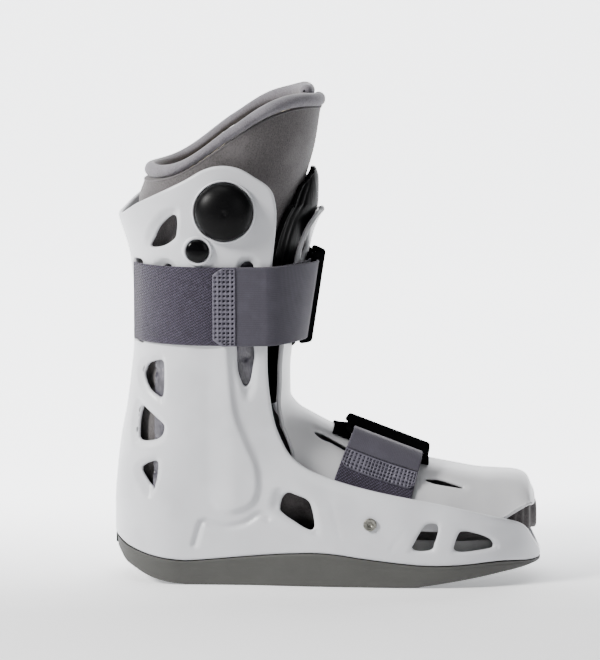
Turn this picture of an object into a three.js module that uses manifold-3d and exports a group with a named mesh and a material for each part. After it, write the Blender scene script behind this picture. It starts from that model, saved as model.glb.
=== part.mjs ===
// A walking boot for an injured ankle: a moulded shell with a front cover, a rocker sole,
// a padded liner, an air pump and two straps. Millimetres, +X to the toe, +Z up, the near
// side at -Y, and the origin under the middle of the sole.
import * as THREE from 'three';
import { mergeVertices } from 'three/addons/utils/BufferGeometryUtils.js';
import Module from 'manifold-3d';

const wasm = await Module();
wasm.setup();

// Overall sizes
const BOOT_LENGTH = 299;
const SHELL_HEIGHT = 295;
const BALL_WIDTH = 120;
const CALF_WIDTH = 128;

// Walls and running gaps
const SHELL_WALL = 3.2;
const BASE_PLATE = 5;
const PANEL_WALL = 3;
const LINER_WALL = 6;
const LINING_WALL = 1;
const SHIN_PAD_WALL = 4;
const AIR_CELL_THICKNESS = 3;
const GAP = 0.4;
const SEAT_GAP = 0.9;
const SOLE_TAPER = 4;
const COLLAR_ROLL = 4.8;
const LINING_DEPTH = 1.6;

// Pump, valve button and screws
const BULB_RADIUS = 20;
const BULB_RISE = 11;
const BOSS_RADIUS = 21.8;
const BOSS_RISE = 2;
const BUTTON_RADIUS = 7.7;
const BUTTON_BODY = 3.4;
const BUTTON_DOME = 2.2;
const BUTTON_TRAVEL = 2;
const COLLAR_RADIUS = 10;
const COLLAR_RISE = 3.4;
const COLLAR_CLEARANCE = 1.1;
const SCREW_HEAD_RADIUS = 4.6;
const SCREW_HEAD = 1.6;
const SCREW_SHANK_RADIUS = 2;

// Straps, rings and the pads under the rings
const STRAP_THICKNESS = 1.6;
const CALF_STRAP_WIDTH = 55;
const CALF_STRAP_LEAN = 0.15;
const FOOT_STRAP_WIDTH = 51;
const RING_BAR = 3.2;
const RING_BAR_WIDTH = 4;
const RING_HALF_SPAN = 23;
const RING_SLOT = 4.8;
const RING_END_ROOM = 5;
const CALF_RING = { standOff: 10.7, sag: 6.5 };
const RING_PAD = { half: 20, middle: 6.5, side: 1, fullTo: 0.3, thinFrom: 0.78, ends: 0.3 };
const SLOT_WIDTH = 6;
const CALF_STRAP_BULGE = 2;
const FOOT_STRAP_BULGE = 3;
const BAR_OUTSIDE = RING_HALF_SPAN + RING_BAR_WIDTH / 2 + 2 * GAP;
const BAR_INSIDE = RING_HALF_SPAN - RING_BAR_WIDTH / 2 - GAP;

// Facets: steps along and across each sheet, and the sides of the round pieces
const SHELL_STEPS = 18;
const SHELL_LEVELS = [
  -0.02, 0.02, 0.05, 0.08, 0.12, 0.18, 0.25, 0.32, 0.39, 0.46, 0.56, 0.68, 0.78, 0.85,
  0.92, 1.03,
];
const PANEL_STEPS = { along: 20, across: 8 };
const SHIN_PAD_STEPS = { along: 12, across: 6 };
const RING_PAD_STEPS = { along: 5, across: 8 };
const RING_STEPS = 4;
const AIR_CELL_STEPS = { along: 7, across: 5 };
const CALF_STRAP_STEPS = { hug: 18, span: 3, across: 2, tabAt: 13, tab: 3, anchorTail: 4 };
const FOOT_STRAP_STEPS = { hug: 8, span: 3, across: 3, tabAt: 9, tab: 3, anchorTail: 3 };
const LINER_SIDES = 20;
const ROLL_SIDES = 8;
const VENT_SIDES = 12;
const POST_SIDES = 28;
const SCREW_SIDES = 12;

// Side view of the shell, as shares of BOOT_LENGTH from the heel and of SHELL_HEIGHT
const TOP_EDGE = table('along up', [
  [-0.020, 0.862], [0.013, 0.872], [0.060, 0.908], [0.165, 0.963], [0.212, 0.990],
  [0.252, 1.000], [0.294, 0.994], [0.331, 0.973], [0.364, 0.949], [0.378, 0.918],
  [0.381, 0.865], [0.371, 0.762], [0.362, 0.637], [0.360, 0.541], [0.364, 0.470],
  [0.376, 0.395], [0.397, 0.339], [0.420, 0.305], [0.458, 0.278], [0.528, 0.252],
  [0.622, 0.228], [0.762, 0.201], [0.856, 0.178], [0.935, 0.154], [0.966, 0.132],
  [0.989, 0.089], [1.000, 0.070], [1.020, 0.060],
]);
const PARTING_LINE = table('along up', [
  [1.020, 0.046], [0.980, 0.052], [0.903, 0.062], [0.809, 0.057], [0.739, 0.055],
  [0.669, 0.060], [0.587, 0.070], [0.493, 0.082], [0.411, 0.081], [0.317, 0.073],
  [0.200, 0.062], [0.154, 0.061], [0.095, 0.069], [0.036, 0.086], [0.004, 0.103],
  [-0.030, 0.112],
]);
const SOLE_UNDERSIDE = table('along up', [
  [-0.030, 0.086], [0.006, 0.076], [0.027, 0.050], [0.046, 0.038], [0.067, 0.026],
  [0.088, 0.016], [0.111, 0.009], [0.135, 0.004], [0.165, 0.001], [0.200, 0.000],
  [0.660, 0.000], [0.715, 0.003], [0.762, 0.010], [0.809, 0.018], [0.856, 0.026],
  [0.903, 0.034], [0.949, 0.039], [0.980, 0.043], [1.020, 0.044],
]);
const BACK_PROFILE = table('up along', [
  [0.000, 0.010], [0.079, 0.007], [0.122, 0.001], [0.180, 0.001], [0.256, 0.006],
  [0.333, 0.015], [0.410, 0.029], [0.486, 0.039], [0.563, 0.046], [0.678, 0.046],
  [0.755, 0.041], [0.793, 0.034], [0.831, 0.022], [0.870, 0.011], [1.040, 0.000],
]);

// Half widths of the foot, as shares of BALL_WIDTH, and of the leg, as shares of CALF_WIDTH
const FOOT_HALF = table('along half', [
  [0.000, 0.385], [0.150, 0.385], [0.300, 0.400], [0.430, 0.440], [0.570, 0.475],
  [0.700, 0.497], [0.785, 0.500], [0.870, 0.495], [1.000, 0.480],
]);
const LEG_HALF = table('up half', [
  [0.000, 0.410], [0.350, 0.415], [0.500, 0.430], [0.650, 0.455], [0.800, 0.485],
  [0.900, 0.500], [1.040, 0.505],
]);
const FOOT_LEAN = { share: 0.07, from: 0.08, to: 0.34 };
const LEG_BLEND = { from: 0.20, to: 0.44, front: 0.40, clear: 0.60 };
const ROUNDING = { heel: 0.165, leg: 0.255, toe: 0.750, power: 2.3, legFront: 0.335 };

// Vents of one side: outlines as shares of BOOT_LENGTH and SHELL_HEIGHT, and how far
// towards the middle the cut reaches, as a share of CALF_WIDTH
const VENTS = [
  vent(0.10, [
    [0.090, 0.804], [0.095, 0.822], [0.113, 0.851], [0.132, 0.868], [0.146, 0.873],
    [0.150, 0.861], [0.149, 0.840], [0.143, 0.820], [0.118, 0.806],
  ]),
  vent(0.14, [
    [0.101, 0.690], [0.107, 0.737], [0.121, 0.759], [0.135, 0.759], [0.139, 0.725],
    [0.135, 0.677], [0.114, 0.672],
  ]),
  vent(0.06, [
    [0.067, 0.501], [0.072, 0.515], [0.083, 0.522], [0.102, 0.527], [0.114, 0.524],
    [0.116, 0.482], [0.113, 0.447], [0.104, 0.445], [0.083, 0.462], [0.071, 0.481],
  ]),
  vent(0.05, [
    [0.055, 0.349], [0.055, 0.385], [0.060, 0.413], [0.066, 0.418], [0.095, 0.392],
    [0.114, 0.375], [0.115, 0.362], [0.111, 0.351], [0.095, 0.342], [0.065, 0.339],
  ]),
  vent(0.05, [
    [0.062, 0.270], [0.072, 0.279], [0.090, 0.286], [0.101, 0.285], [0.100, 0.255],
    [0.095, 0.231], [0.089, 0.224], [0.074, 0.246],
  ]),
  vent(0.20, [
    [0.292, 0.559], [0.298, 0.590], [0.320, 0.595], [0.327, 0.575], [0.325, 0.530],
    [0.317, 0.487], [0.308, 0.480], [0.301, 0.492],
  ]),
  vent(0.20, [
    [0.300, 0.714], [0.296, 0.746], [0.303, 0.767], [0.317, 0.772], [0.327, 0.762],
    [0.327, 0.722], [0.315, 0.703],
  ]),
  vent(0.22, [
    [0.388, 0.185], [0.391, 0.205], [0.400, 0.218], [0.411, 0.221], [0.446, 0.206],
    [0.457, 0.193], [0.465, 0.142], [0.459, 0.137], [0.423, 0.156], [0.397, 0.172],
  ]),
  vent(0.26, [
    [0.697, 0.102], [0.704, 0.119], [0.720, 0.145], [0.730, 0.153], [0.743, 0.155],
    [0.751, 0.148], [0.750, 0.132], [0.742, 0.103], [0.733, 0.094], [0.706, 0.092],
  ]),
  vent(0.26, [
    [0.793, 0.096], [0.796, 0.110], [0.803, 0.128], [0.811, 0.134], [0.823, 0.134],
    [0.851, 0.127], [0.872, 0.118], [0.883, 0.108], [0.881, 0.099], [0.844, 0.091],
    [0.809, 0.089],
  ]),
];

// Front cover: its ridge, and across it the half width and drop as shares of BALL_WIDTH
const PANEL = table('along up half drop power', [
  [0.493, 0.879, 0.030, 0.002, 2.0],
  [0.480, 0.858, 0.140, 0.020, 2.0],
  [0.467, 0.825, 0.230, 0.042, 2.0],
  [0.455, 0.775, 0.285, 0.058, 2.0],
  [0.445, 0.710, 0.305, 0.064, 2.0],
  [0.432, 0.640, 0.315, 0.064, 2.0],
  [0.420, 0.575, 0.317, 0.060, 2.0],
  [0.412, 0.500, 0.317, 0.054, 2.1],
  [0.413, 0.440, 0.318, 0.064, 2.3],
  [0.430, 0.410, 0.325, 0.120, 2.5],
  [0.468, 0.386, 0.338, 0.250, 2.8],
  [0.509, 0.364, 0.345, 0.340, 3.0],
  [0.610, 0.323, 0.368, 0.390, 3.2],
  [0.713, 0.283, 0.398, 0.370, 3.4],
  [0.781, 0.268, 0.410, 0.340, 3.4],
  [0.865, 0.254, 0.392, 0.290, 3.2],
  [0.935, 0.251, 0.342, 0.195, 2.8],
  [0.966, 0.240, 0.320, 0.140, 2.6],
  [0.985, 0.199, 0.270, 0.085, 2.4],
]);
const PANEL_SLOTS = [
  vent(0.09, [
    [0.457, 0.846], [0.444, 0.824], [0.437, 0.805], [0.434, 0.786], [0.439, 0.762],
    [0.444, 0.776], [0.451, 0.800],
  ]),
  vent(0.09, [
    [0.727, 0.248], [0.745, 0.249], [0.764, 0.246], [0.816, 0.229], [0.781, 0.234],
    [0.745, 0.240],
  ]),
  vent(0.09, [
    [0.470, 0.357], [0.493, 0.350], [0.547, 0.319], [0.543, 0.314], [0.510, 0.332],
    [0.485, 0.343],
  ]),
];

// Pad behind the front cover, in the cover's own terms
const SHIN_PAD = table('along up half drop power', [
  [0.470, 0.981, 0.050, 0.010, 2.0],
  [0.478, 0.950, 0.170, 0.085, 2.0],
  [0.476, 0.895, 0.260, 0.135, 2.0],
  [0.456, 0.837, 0.315, 0.155, 2.0],
  [0.443, 0.780, 0.350, 0.170, 2.0],
  [0.428, 0.705, 0.375, 0.180, 2.0],
  [0.413, 0.624, 0.385, 0.190, 2.0],
  [0.401, 0.542, 0.385, 0.190, 2.0],
  [0.396, 0.475, 0.375, 0.180, 2.0],
  [0.399, 0.425, 0.355, 0.170, 2.0],
]);

// Liner sections from the collar to the toe: the back or lower point and the front or
// upper point as shares of BOOT_LENGTH and SHELL_HEIGHT, the half width as a share of
// CALF_WIDTH on the leg and of BALL_WIDTH in the foot, how far the section bows upwards in
// the middle, and how much more it does so in front than behind, as shares of SHELL_HEIGHT
const LINER = table('backAlong backUp frontAlong frontUp half bow skew power', [
  [0.074, 0.952, 0.484, 1.124, 0.441, 0.017, 0.055, 2.2],
  [0.060, 0.900, 0.468, 1.030, 0.431, 0.006, 0.020, 2.1],
  [0.058, 0.820, 0.441, 0.925, 0.409, 0.000, 0.000, 2.0],
  [0.060, 0.730, 0.414, 0.800, 0.394, 0.000, 0.000, 2.1],
  [0.068, 0.620, 0.388, 0.670, 0.367, 0.000, 0.000, 2.1],
  [0.068, 0.500, 0.370, 0.550, 0.347, 0.000, 0.000, 2.1],
  [0.060, 0.390, 0.364, 0.470, 0.326, 0.000, 0.000, 2.2],
  [0.046, 0.290, 0.366, 0.425, 0.302, 0.000, 0.000, 2.2],
  [0.036, 0.200, 0.373, 0.400, 0.283, 0.000, 0.000, 2.3],
  [0.080, 0.120, 0.384, 0.380, 0.283, 0.000, 0.000, 2.4],
  [0.170, 0.098, 0.406, 0.358, 0.292, 0.000, 0.000, 2.4],
  [0.300, 0.098, 0.443, 0.336, 0.294, 0.000, 0.000, 2.4],
  [0.430, 0.108, 0.498, 0.312, 0.296, 0.000, 0.000, 2.4],
  [0.560, 0.105, 0.585, 0.272, 0.298, 0.000, 0.000, 2.4],
  [0.690, 0.088, 0.700, 0.236, 0.320, 0.000, 0.000, 2.5],
  [0.810, 0.086, 0.810, 0.216, 0.328, 0.000, 0.000, 2.5],
  [0.905, 0.092, 0.900, 0.208, 0.300, 0.000, 0.000, 2.5],
  [0.960, 0.100, 0.958, 0.198, 0.240, 0.000, 0.000, 2.4],
  [0.992, 0.120, 0.990, 0.180, 0.130, 0.000, 0.000, 2.2],
]);
const LINER_INSIDE_ROWS = 17;
const LINER_FOOT = { from: 8, to: 10 };

// Places of the fittings, as shares of BOOT_LENGTH and SHELL_HEIGHT
const CALF_STRAP_AT = place(0.377, 0.671);
const BUTTON_AT = place(0.200, 0);
BUTTON_AT.y = CALF_STRAP_AT.y + CALF_STRAP_WIDTH / 2 + COLLAR_RADIUS + COLLAR_CLEARANCE;
const BULB_FROM_BUTTON = new THREE.Vector2(17.9, 27.1);
const BULB_AT = BUTTON_AT.clone().add(BULB_FROM_BUTTON);
const SCREW_AT = place(0.596, 0.154);
const AIR_CELL = { from: 0.085, to: 0.350, low: 0.225, high: 0.830 };
const STRAP_SLOT = { along: 0.050, from: 0.40, to: 0.10 };
const FOOT_RING = { along: 0.632, half: 0.081, rise: 9.9, sag: 6, padFrom: 0.514, padTo: 0.735 };
const FOOT_STRAP_REACH = { low: 0.97, high: 0.72 };
const TOE_FROM_ROW = 9;

// Colours
const LOOKS = {
  shell: { color: 0xc6c7ca, roughness: 0.38 },
  sole: { color: 0x6a6a67, roughness: 0.75 },
  knit: { color: 0x5c5857, roughness: 0.95 },
  binding: { color: 0x83818a, roughness: 0.9 },
  lining: { color: 0xb9ad9a, roughness: 0.9 },
  pad: { color: 0x141416, roughness: 0.35 },
  film: { color: 0x777382, roughness: 0.2 },
  rubber: { color: 0x161618, roughness: 0.4 },
  loop: { color: 0x56525f, roughness: 0.95 },
  hook: { color: 0x66636e, roughness: 0.7 },
  ring: { color: 0x121214, roughness: 0.4 },
  steel: { color: 0x8d8c86, roughness: 0.3, metalness: 1 },
};

function table(columns, rows) {
  const names = columns.split(' ');
  return rows.map((row) => Object.fromEntries(names.map((name, i) => [name, row[i]])));
}

function vent(reach, rows) {
  return { reach: reach * CALF_WIDTH, rows: table('along up', rows) };
}

function place(along, up) {
  return new THREE.Vector2((along - 0.5) * BOOT_LENGTH, up * SHELL_HEIGHT);
}

function placed(row) {
  return place(row.along, row.up);
}

function mix(a, b, t) {
  return a + (b - a) * t;
}

function smooth(a, b, x) {
  const t = Math.min(1, Math.max(0, (x - a) / (b - a)));
  return t * t * (3 - 2 * t);
}

// A column of a table as a smooth function of another column, which only grows
function column(rows, by, what) {
  const t = rows.map((row) => row[by]);
  const v = rows.map((row) => row[what]);
  const rise = t.slice(1).map((value, i) => (v[i + 1] - v[i]) / (value - t[i]));
  const slope = v.map((value, i) => {
    if (i === 0 || i === v.length - 1) return rise[Math.min(i, rise.length - 1)];
    const product = rise[i - 1] * rise[i];
    return product <= 0 ? 0 : (2 * product) / (rise[i - 1] + rise[i]);
  });
  return (at) => {
    if (at <= t[0]) return v[0];
    if (at >= t[t.length - 1]) return v[v.length - 1];
    const i = t.findIndex((value) => value > at) - 1;
    const span = t[i + 1] - t[i];
    const u = (at - t[i]) / span;
    const bend = (u * u * u - 2 * u * u + u) * slope[i] + (u * u * u - u * u) * slope[i + 1];
    return mix(v[i], v[i + 1], u * u * (3 - 2 * u)) + bend * span;
  };
}

function columns(rows, by) {
  const names = Object.keys(rows[0]).filter((name) => name !== by);
  return Object.fromEntries(names.map((name) => [name, column(rows, by, name)]));
}

function numbered(rows) {
  return columns(rows.map((row, index) => ({ index, ...row })), 'index');
}

// The shell's outer form: a stack of plan outlines
const backShare = column(BACK_PROFILE, 'up', 'along');
const footHalf = column(FOOT_HALF, 'along', 'half');
const legHalf = column(LEG_HALF, 'up', 'half');

function roundEnd(distance, reach, power) {
  const t = Math.min(1, Math.max(0, distance / reach));
  return (1 - t ** power) ** (1 / power);
}

function shellEnds(z, inset) {
  const back = place(backShare(z / SHELL_HEIGHT), 0).x + inset;
  return { back, toe: BOOT_LENGTH / 2 - inset };
}

function shellHalf(x, z, inset = 0) {
  const along = x / BOOT_LENGTH + 0.5;
  const up = z / SHELL_HEIGHT;
  const { back, toe } = shellEnds(z, inset);
  const upright = smooth(LEG_BLEND.from, LEG_BLEND.to, up);
  const leg = upright * (1 - smooth(LEG_BLEND.front, LEG_BLEND.clear, along));
  const lean = 1 - FOOT_LEAN.share * smooth(FOOT_LEAN.from, FOOT_LEAN.to, up);
  const legShape = roundEnd(along - ROUNDING.leg, ROUNDING.legFront, ROUNDING.power);
  const wide = mix(
    footHalf(along) * BALL_WIDTH * lean,
    legHalf(up) * CALF_WIDTH * legShape,
    leg,
  );
  const heelCentre = place(mix(ROUNDING.heel, ROUNDING.leg, upright), 0).x;
  const toeCentre = place(ROUNDING.toe, 0).x;
  const taper = SOLE_TAPER * (1 - smooth(0, 0.075, up));
  const heel = roundEnd(heelCentre - x, heelCentre - back, ROUNDING.power);
  const front = roundEnd(x - toeCentre, toe - toeCentre, ROUNDING.power);
  return Math.max(0, (wide - inset - taper) * heel * front);
}

// A point of the near side of the shell, moved outwards by off
function shellPoint(x, z, off) {
  const step = 0.5;
  const slopeX = (shellHalf(x + step, z) - shellHalf(x - step, z)) / (2 * step);
  const slopeZ = (shellHalf(x, z + step) - shellHalf(x, z - step)) / (2 * step);
  const normal = new THREE.Vector3(-slopeX, -1, -slopeZ).normalize();
  return new THREE.Vector3(x, -shellHalf(x, z), z).addScaledVector(normal, off);
}

function shellForm(inset) {
  const rings = SHELL_LEVELS.map((up) => {
    const z = up * SHELL_HEIGHT;
    const { back, toe } = shellEnds(z, inset);
    const near = [];
    for (let i = 1; i < SHELL_STEPS; i += 1) {
      const x = mix(back, toe, (1 - Math.cos((Math.PI * i) / SHELL_STEPS)) / 2);
      near.push(new THREE.Vector3(x, -shellHalf(x, z, inset), z));
    }
    const far = near.map((p) => new THREE.Vector3(p.x, -p.y, p.z)).reverse();
    return [new THREE.Vector3(back, 0, z), ...near, new THREE.Vector3(toe, 0, z), ...far];
  });
  return stack(rings);
}

// Closed solid from a stack of rings, each with a flat fan at its two ends
function stack(rings) {
  const points = rings.flat();
  const faces = [];
  const n = rings[0].length;
  for (let k = 0; k < rings.length - 1; k += 1) {
    for (let i = 0; i < n; i += 1) {
      const a = k * n + i;
      const b = k * n + ((i + 1) % n);
      faces.push(a, b, b + n, a, b + n, a + n);
    }
  }
  [0, rings.length - 1].forEach((k, end) => {
    const centre = new THREE.Vector3();
    rings[k].forEach((p) => centre.addScaledVector(p, 1 / n));
    const hub = points.push(centre) - 1;
    for (let i = 0; i < n; i += 1) {
      const a = k * n + i;
      const b = k * n + ((i + 1) % n);
      faces.push(...(end ? [a, b, hub] : [b, a, hub]));
    }
  });
  return shape(points, faces);
}

function shape(points, faces) {
  const geometry = new THREE.BufferGeometry().setFromPoints(points);
  geometry.setIndex(faces);
  return geometry;
}

// Ring-shaped solid from a grid of points whose rows close on themselves and whose last
// row joins its first
function ringGrid(rows) {
  const n = rows[0].length;
  const faces = [];
  rows.forEach((row, k) => {
    const next = (k + 1) % rows.length;
    for (let i = 0; i < n; i += 1) {
      const j = (i + 1) % n;
      faces.push(k * n + i, next * n + j, k * n + j);
      faces.push(k * n + i, next * n + i, next * n + j);
    }
  });
  return shape(rows.flat(), faces);
}

// A wall between two offsets of a surface given as a grid of points, square at its edges;
// an offset is one number, or a function of the row and the point
function wall(grid, low, high) {
  const rows = grid.length;
  const cols = grid[0].length;
  const at = (k, i) => grid[Math.min(rows - 1, Math.max(0, k))][Math.min(cols - 1, Math.max(0, i))];
  const normals = grid.map((row, k) => row.map((p, i) => {
    const across = at(k, i + 1).clone().sub(at(k, i - 1));
    const down = at(k + 1, i).clone().sub(at(k - 1, i));
    return across.cross(down).normalize();
  }));
  const moved = (off) => grid.map((row, k) => row.map(
    (p, i) => p.clone().addScaledVector(normals[k][i], off.call ? off(k, i) : off),
  ));
  const upper = moved(high);
  const lower = moved(low).map((row) => row.reverse());
  return stackOpen(upper.map((row, k) => [...row, ...lower[k]]));
}

// Closed solid from rings whose two ends are closed as strips, for thin walls
function stackOpen(rings) {
  const n = rings[0].length;
  const faces = [];
  for (let k = 0; k < rings.length - 1; k += 1) {
    for (let i = 0; i < n; i += 1) {
      const a = k * n + i;
      const b = k * n + ((i + 1) % n);
      faces.push(a, b, b + n, a, b + n, a + n);
    }
  }
  [0, rings.length - 1].forEach((k, end) => {
    for (let i = 0; i < n / 2 - 1; i += 1) {
      const a = k * n + i;
      const b = a + 1;
      const c = k * n + (n - 1 - i);
      const d = c - 1;
      faces.push(...(end ? [a, b, c, b, d, c] : [a, c, b, b, c, d]));
    }
  });
  return shape(rings.flat(), faces);
}

// Booleans
function solid(geometry) {
  const bare = geometry.clone();
  bare.deleteAttribute('normal');
  bare.deleteAttribute('uv');
  const merged = mergeVertices(bare, 1e-4);
  return new wasm.Manifold(new wasm.Mesh({
    numProp: 3,
    vertProperties: merged.attributes.position.array,
    triVerts: Uint32Array.from(merged.index.array),
  }));
}

function geometryOf(made) {
  const mesh = made.getMesh();
  const geometry = new THREE.BufferGeometry();
  geometry.setAttribute('position', new THREE.BufferAttribute(mesh.vertProperties, 3));
  geometry.setIndex(new THREE.BufferAttribute(mesh.triVerts, 1));
  return geometry;
}

// Prism of a side view outline, from one depth along Y to another
function prism(points, from, to) {
  const geometry = new THREE.ExtrudeGeometry(new THREE.Shape(points), {
    depth: to - from, bevelEnabled: false,
  });
  return solid(geometry.rotateX(Math.PI / 2).translate(0, to, 0));
}

function roundPost(at, radius, from, to) {
  const geometry = new THREE.CylinderGeometry(radius, radius, to - from, POST_SIDES);
  return solid(geometry.translate(at.x, (from + to) / 2, at.y));
}

function spline(rows, steps) {
  return new THREE.SplineCurve(rows.map(placed)).getPoints(steps);
}

function mirrored(made) {
  return made.mirror([0, 1, 0]);
}

const REACH = CALF_WIDTH;
const topEdge = spline(TOP_EDGE, 42);
const parting = spline(PARTING_LINE, 30);
const lifted = (points, rise) => points.map((p) => new THREE.Vector2(p.x, p.y + rise));

function cutAll(body, cuts) {
  return cuts.reduce((rest, cut) => rest.subtract(cut).subtract(mirrored(cut)), body);
}

function slotCuts() {
  const x = place(STRAP_SLOT.along, 0).x;
  const half = CALF_STRAP_WIDTH / 2 + 2 * SEAT_GAP;
  const outline = [
    [x, -half], [x + SLOT_WIDTH, -half], [x + SLOT_WIDTH, half], [x, half],
  ].map(([along, up]) => new THREE.Vector2(along, CALF_STRAP_AT.y + up));
  return prism(outline, -STRAP_SLOT.from * CALF_WIDTH, -STRAP_SLOT.to * CALF_WIDTH);
}

function ventCut({ reach, rows }) {
  const curve = new THREE.SplineCurve([...rows, rows[0]].map(placed));
  return prism(curve.getPoints(VENT_SIDES).slice(0, -1), -REACH, -reach);
}

const bulbFace = -shellHalf(BULB_AT.x, BULB_AT.y) - BOSS_RISE;
const buttonFace = -shellHalf(BUTTON_AT.x, BUTTON_AT.y) - COLLAR_RISE;
const screwFace = -shellHalf(SCREW_AT.x, SCREW_AT.y) - GAP;
const buttonSeat = buttonFace + BUTTON_BODY + BUTTON_TRAVEL + GAP;

function rearShell() {
  const outline = [...topEdge, ...parting];
  const outer = solid(shellForm(0)).intersect(prism(outline, -REACH, REACH));
  const floor = lifted(parting, BASE_PLATE);
  const roof = place(0, 1.2).y;
  const room = [
    ...floor, new THREE.Vector2(-BOOT_LENGTH, roof), new THREE.Vector2(BOOT_LENGTH, roof),
  ];
  const inner = solid(shellForm(SHELL_WALL)).intersect(prism(room, -REACH, REACH));
  const bulbBack = bulbFace + BOSS_RISE + SHELL_WALL / 2;
  const collarBack = buttonFace + COLLAR_RISE + SHELL_WALL / 2;
  return cutAll(outer.subtract(inner), [...VENTS.map(ventCut), slotCuts()])
    .add(roundPost(BULB_AT, BOSS_RADIUS, bulbFace, bulbBack))
    .add(roundPost(BUTTON_AT, COLLAR_RADIUS, buttonFace, collarBack))
    .subtract(roundPost(BULB_AT, BULB_RADIUS + GAP, -REACH, bulbFace + BOSS_RISE / 2))
    .subtract(roundPost(BUTTON_AT, BUTTON_RADIUS + GAP, -REACH, buttonSeat))
    .subtract(roundPost(SCREW_AT, SCREW_SHANK_RADIUS + GAP, -REACH, REACH));
}

function outsole() {
  const top = lifted(parting, -GAP);
  const outline = [...top, ...SOLE_UNDERSIDE.map(placed)];
  return solid(shellForm(0)).intersect(prism(outline, -REACH, REACH));
}

// Front cover and shin pad: an arch carried along a ridge
function arch(rows) {
  const of = numbered(rows);
  const ridge = (k) => place(of.along(k), of.up(k));
  return (k, t) => {
    const step = 0.05;
    const centre = ridge(k);
    const ahead = ridge(k + step).sub(ridge(k - step)).normalize();
    const depth = of.drop(k) * BALL_WIDTH * Math.abs(t) ** of.power(k);
    const y = of.half(k) * BALL_WIDTH * t;
    return new THREE.Vector3(centre.x - ahead.y * -depth, y, centre.y - ahead.x * depth);
  };
}

function archGrid(form, last, steps) {
  const grid = [];
  for (let k = 0; k <= steps.along; k += 1) {
    const row = [];
    for (let i = 0; i <= steps.across; i += 1) {
      const t = Math.sin((1 - (i / steps.across) * 2) * (Math.PI / 2));
      row.push(form((last * k) / steps.along, t));
    }
    grid.push(row);
  }
  return grid;
}

const panelPoint = arch(PANEL);
const padPoint = arch(SHIN_PAD);
const panelOf = numbered(PANEL);

function rowBelow(up) {
  let k = 0;
  while (panelOf.up(k) > up) k += 0.02;
  return k;
}

function rowPast(along) {
  let k = TOE_FROM_ROW;
  while (panelOf.along(k) < along) k += 0.02;
  return k;
}

function frontPanel() {
  const body = solid(wall(archGrid(panelPoint, PANEL.length - 1, PANEL_STEPS), -PANEL_WALL, 0));
  return cutAll(body, PANEL_SLOTS.map(ventCut));
}

function shinPad() {
  return wall(archGrid(padPoint, SHIN_PAD.length - 1, SHIN_PAD_STEPS), -SHIN_PAD_WALL, 0);
}

// Liner: sections from the collar round the heel to the toe
const linerOf = numbered(LINER);

function linerRing(k, inset) {
  const low = place(linerOf.backAlong(k), linerOf.backUp(k));
  const high = place(linerOf.frontAlong(k), linerOf.frontUp(k));
  const middle = low.clone().add(high).multiplyScalar(0.5);
  const reach = low.distanceTo(high) / 2;
  const ahead = high.clone().sub(low).normalize();
  const width = mix(CALF_WIDTH, BALL_WIDTH, smooth(LINER_FOOT.from, LINER_FOOT.to, k));
  const half = linerOf.half(k) * width - inset;
  const power = 2 / linerOf.power(k);
  const bow = linerOf.bow(k) * SHELL_HEIGHT;
  const skew = linerOf.skew(k) * SHELL_HEIGHT;
  const ring = [];
  for (let i = 0; i < LINER_SIDES; i += 1) {
    const turn = (2 * Math.PI * i) / LINER_SIDES;
    const c = Math.cos(turn);
    const s = Math.sin(turn);
    const u = -Math.sign(c) * Math.abs(c) ** power * (reach - inset);
    const v = -Math.sign(s) * Math.abs(s) ** power * half;
    const rise = (bow - skew * c) * s * s;
    ring.push(new THREE.Vector3(
      middle.x + ahead.x * u - ahead.y * rise, v, middle.y + ahead.y * u + ahead.x * rise,
    ));
  }
  return ring;
}

function liner() {
  const last = LINER.length - 1;
  const outer = [];
  for (let k = last; k >= 0; k -= 1) outer.push(linerRing(k, 0));
  const inner = [];
  for (let k = 0; k <= LINER_INSIDE_ROWS; k += 1) inner.push(linerRing(k, LINER_WALL));
  return stack([...outer, ...inner]);
}

function liningSleeve() {
  const sleeve = (inset) => {
    const [top, next, low] = [0, 1, 2].map((k) => linerRing(k, inset));
    return [top, next, next.map((p, i) => p.clone().lerp(low[i], LINING_DEPTH - 1))];
  };
  const outer = sleeve(LINER_WALL + GAP);
  const inner = sleeve(LINER_WALL + GAP + LINING_WALL);
  return ringGrid([...outer, ...inner.reverse()]);
}

function linerBinding() {
  const path = linerRing(0, LINER_WALL / 2);
  const wide = linerRing(0, 0);
  const below = linerRing(0.3, LINER_WALL / 2);
  const rows = path.map((p, i) => {
    const up = p.clone().sub(below[i]).normalize();
    const out = wide[i].clone().sub(p);
    out.addScaledVector(up, -out.dot(up)).normalize();
    const centre = p.clone().addScaledVector(up, COLLAR_ROLL + 2 * SEAT_GAP);
    const section = [];
    for (let j = 0; j < ROLL_SIDES; j += 1) {
      const turn = (2 * Math.PI * j) / ROLL_SIDES;
      section.push(centre.clone()
        .addScaledVector(out, COLLAR_ROLL * Math.cos(turn))
        .addScaledVector(up, COLLAR_ROLL * Math.sin(turn)));
    }
    return section;
  });
  return ringGrid(rows);
}

// Air cell between the shell's wall and the liner, on one side
function airCell() {
  const grid = [];
  const { along, across: cols } = AIR_CELL_STEPS;
  for (let k = 0; k <= along; k += 1) {
    const z = place(0, mix(AIR_CELL.low, AIR_CELL.high, k / along)).y;
    const row = [];
    for (let i = 0; i <= cols; i += 1) {
      const x = place(mix(AIR_CELL.from, AIR_CELL.to, i / cols), 0).x;
      row.push(shellPoint(x, z, -(SHELL_WALL + SEAT_GAP + GAP)));
    }
    grid.push(row);
  }
  return wall(grid, -AIR_CELL_THICKNESS, 0);
}

// A strap: an inner layer out to a ring's bar, a fold round it, and an outer layer back
const LAYER = STRAP_THICKNESS + GAP;
const FOLD = RING_BAR + STRAP_THICKNESS + 2 * GAP;

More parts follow.
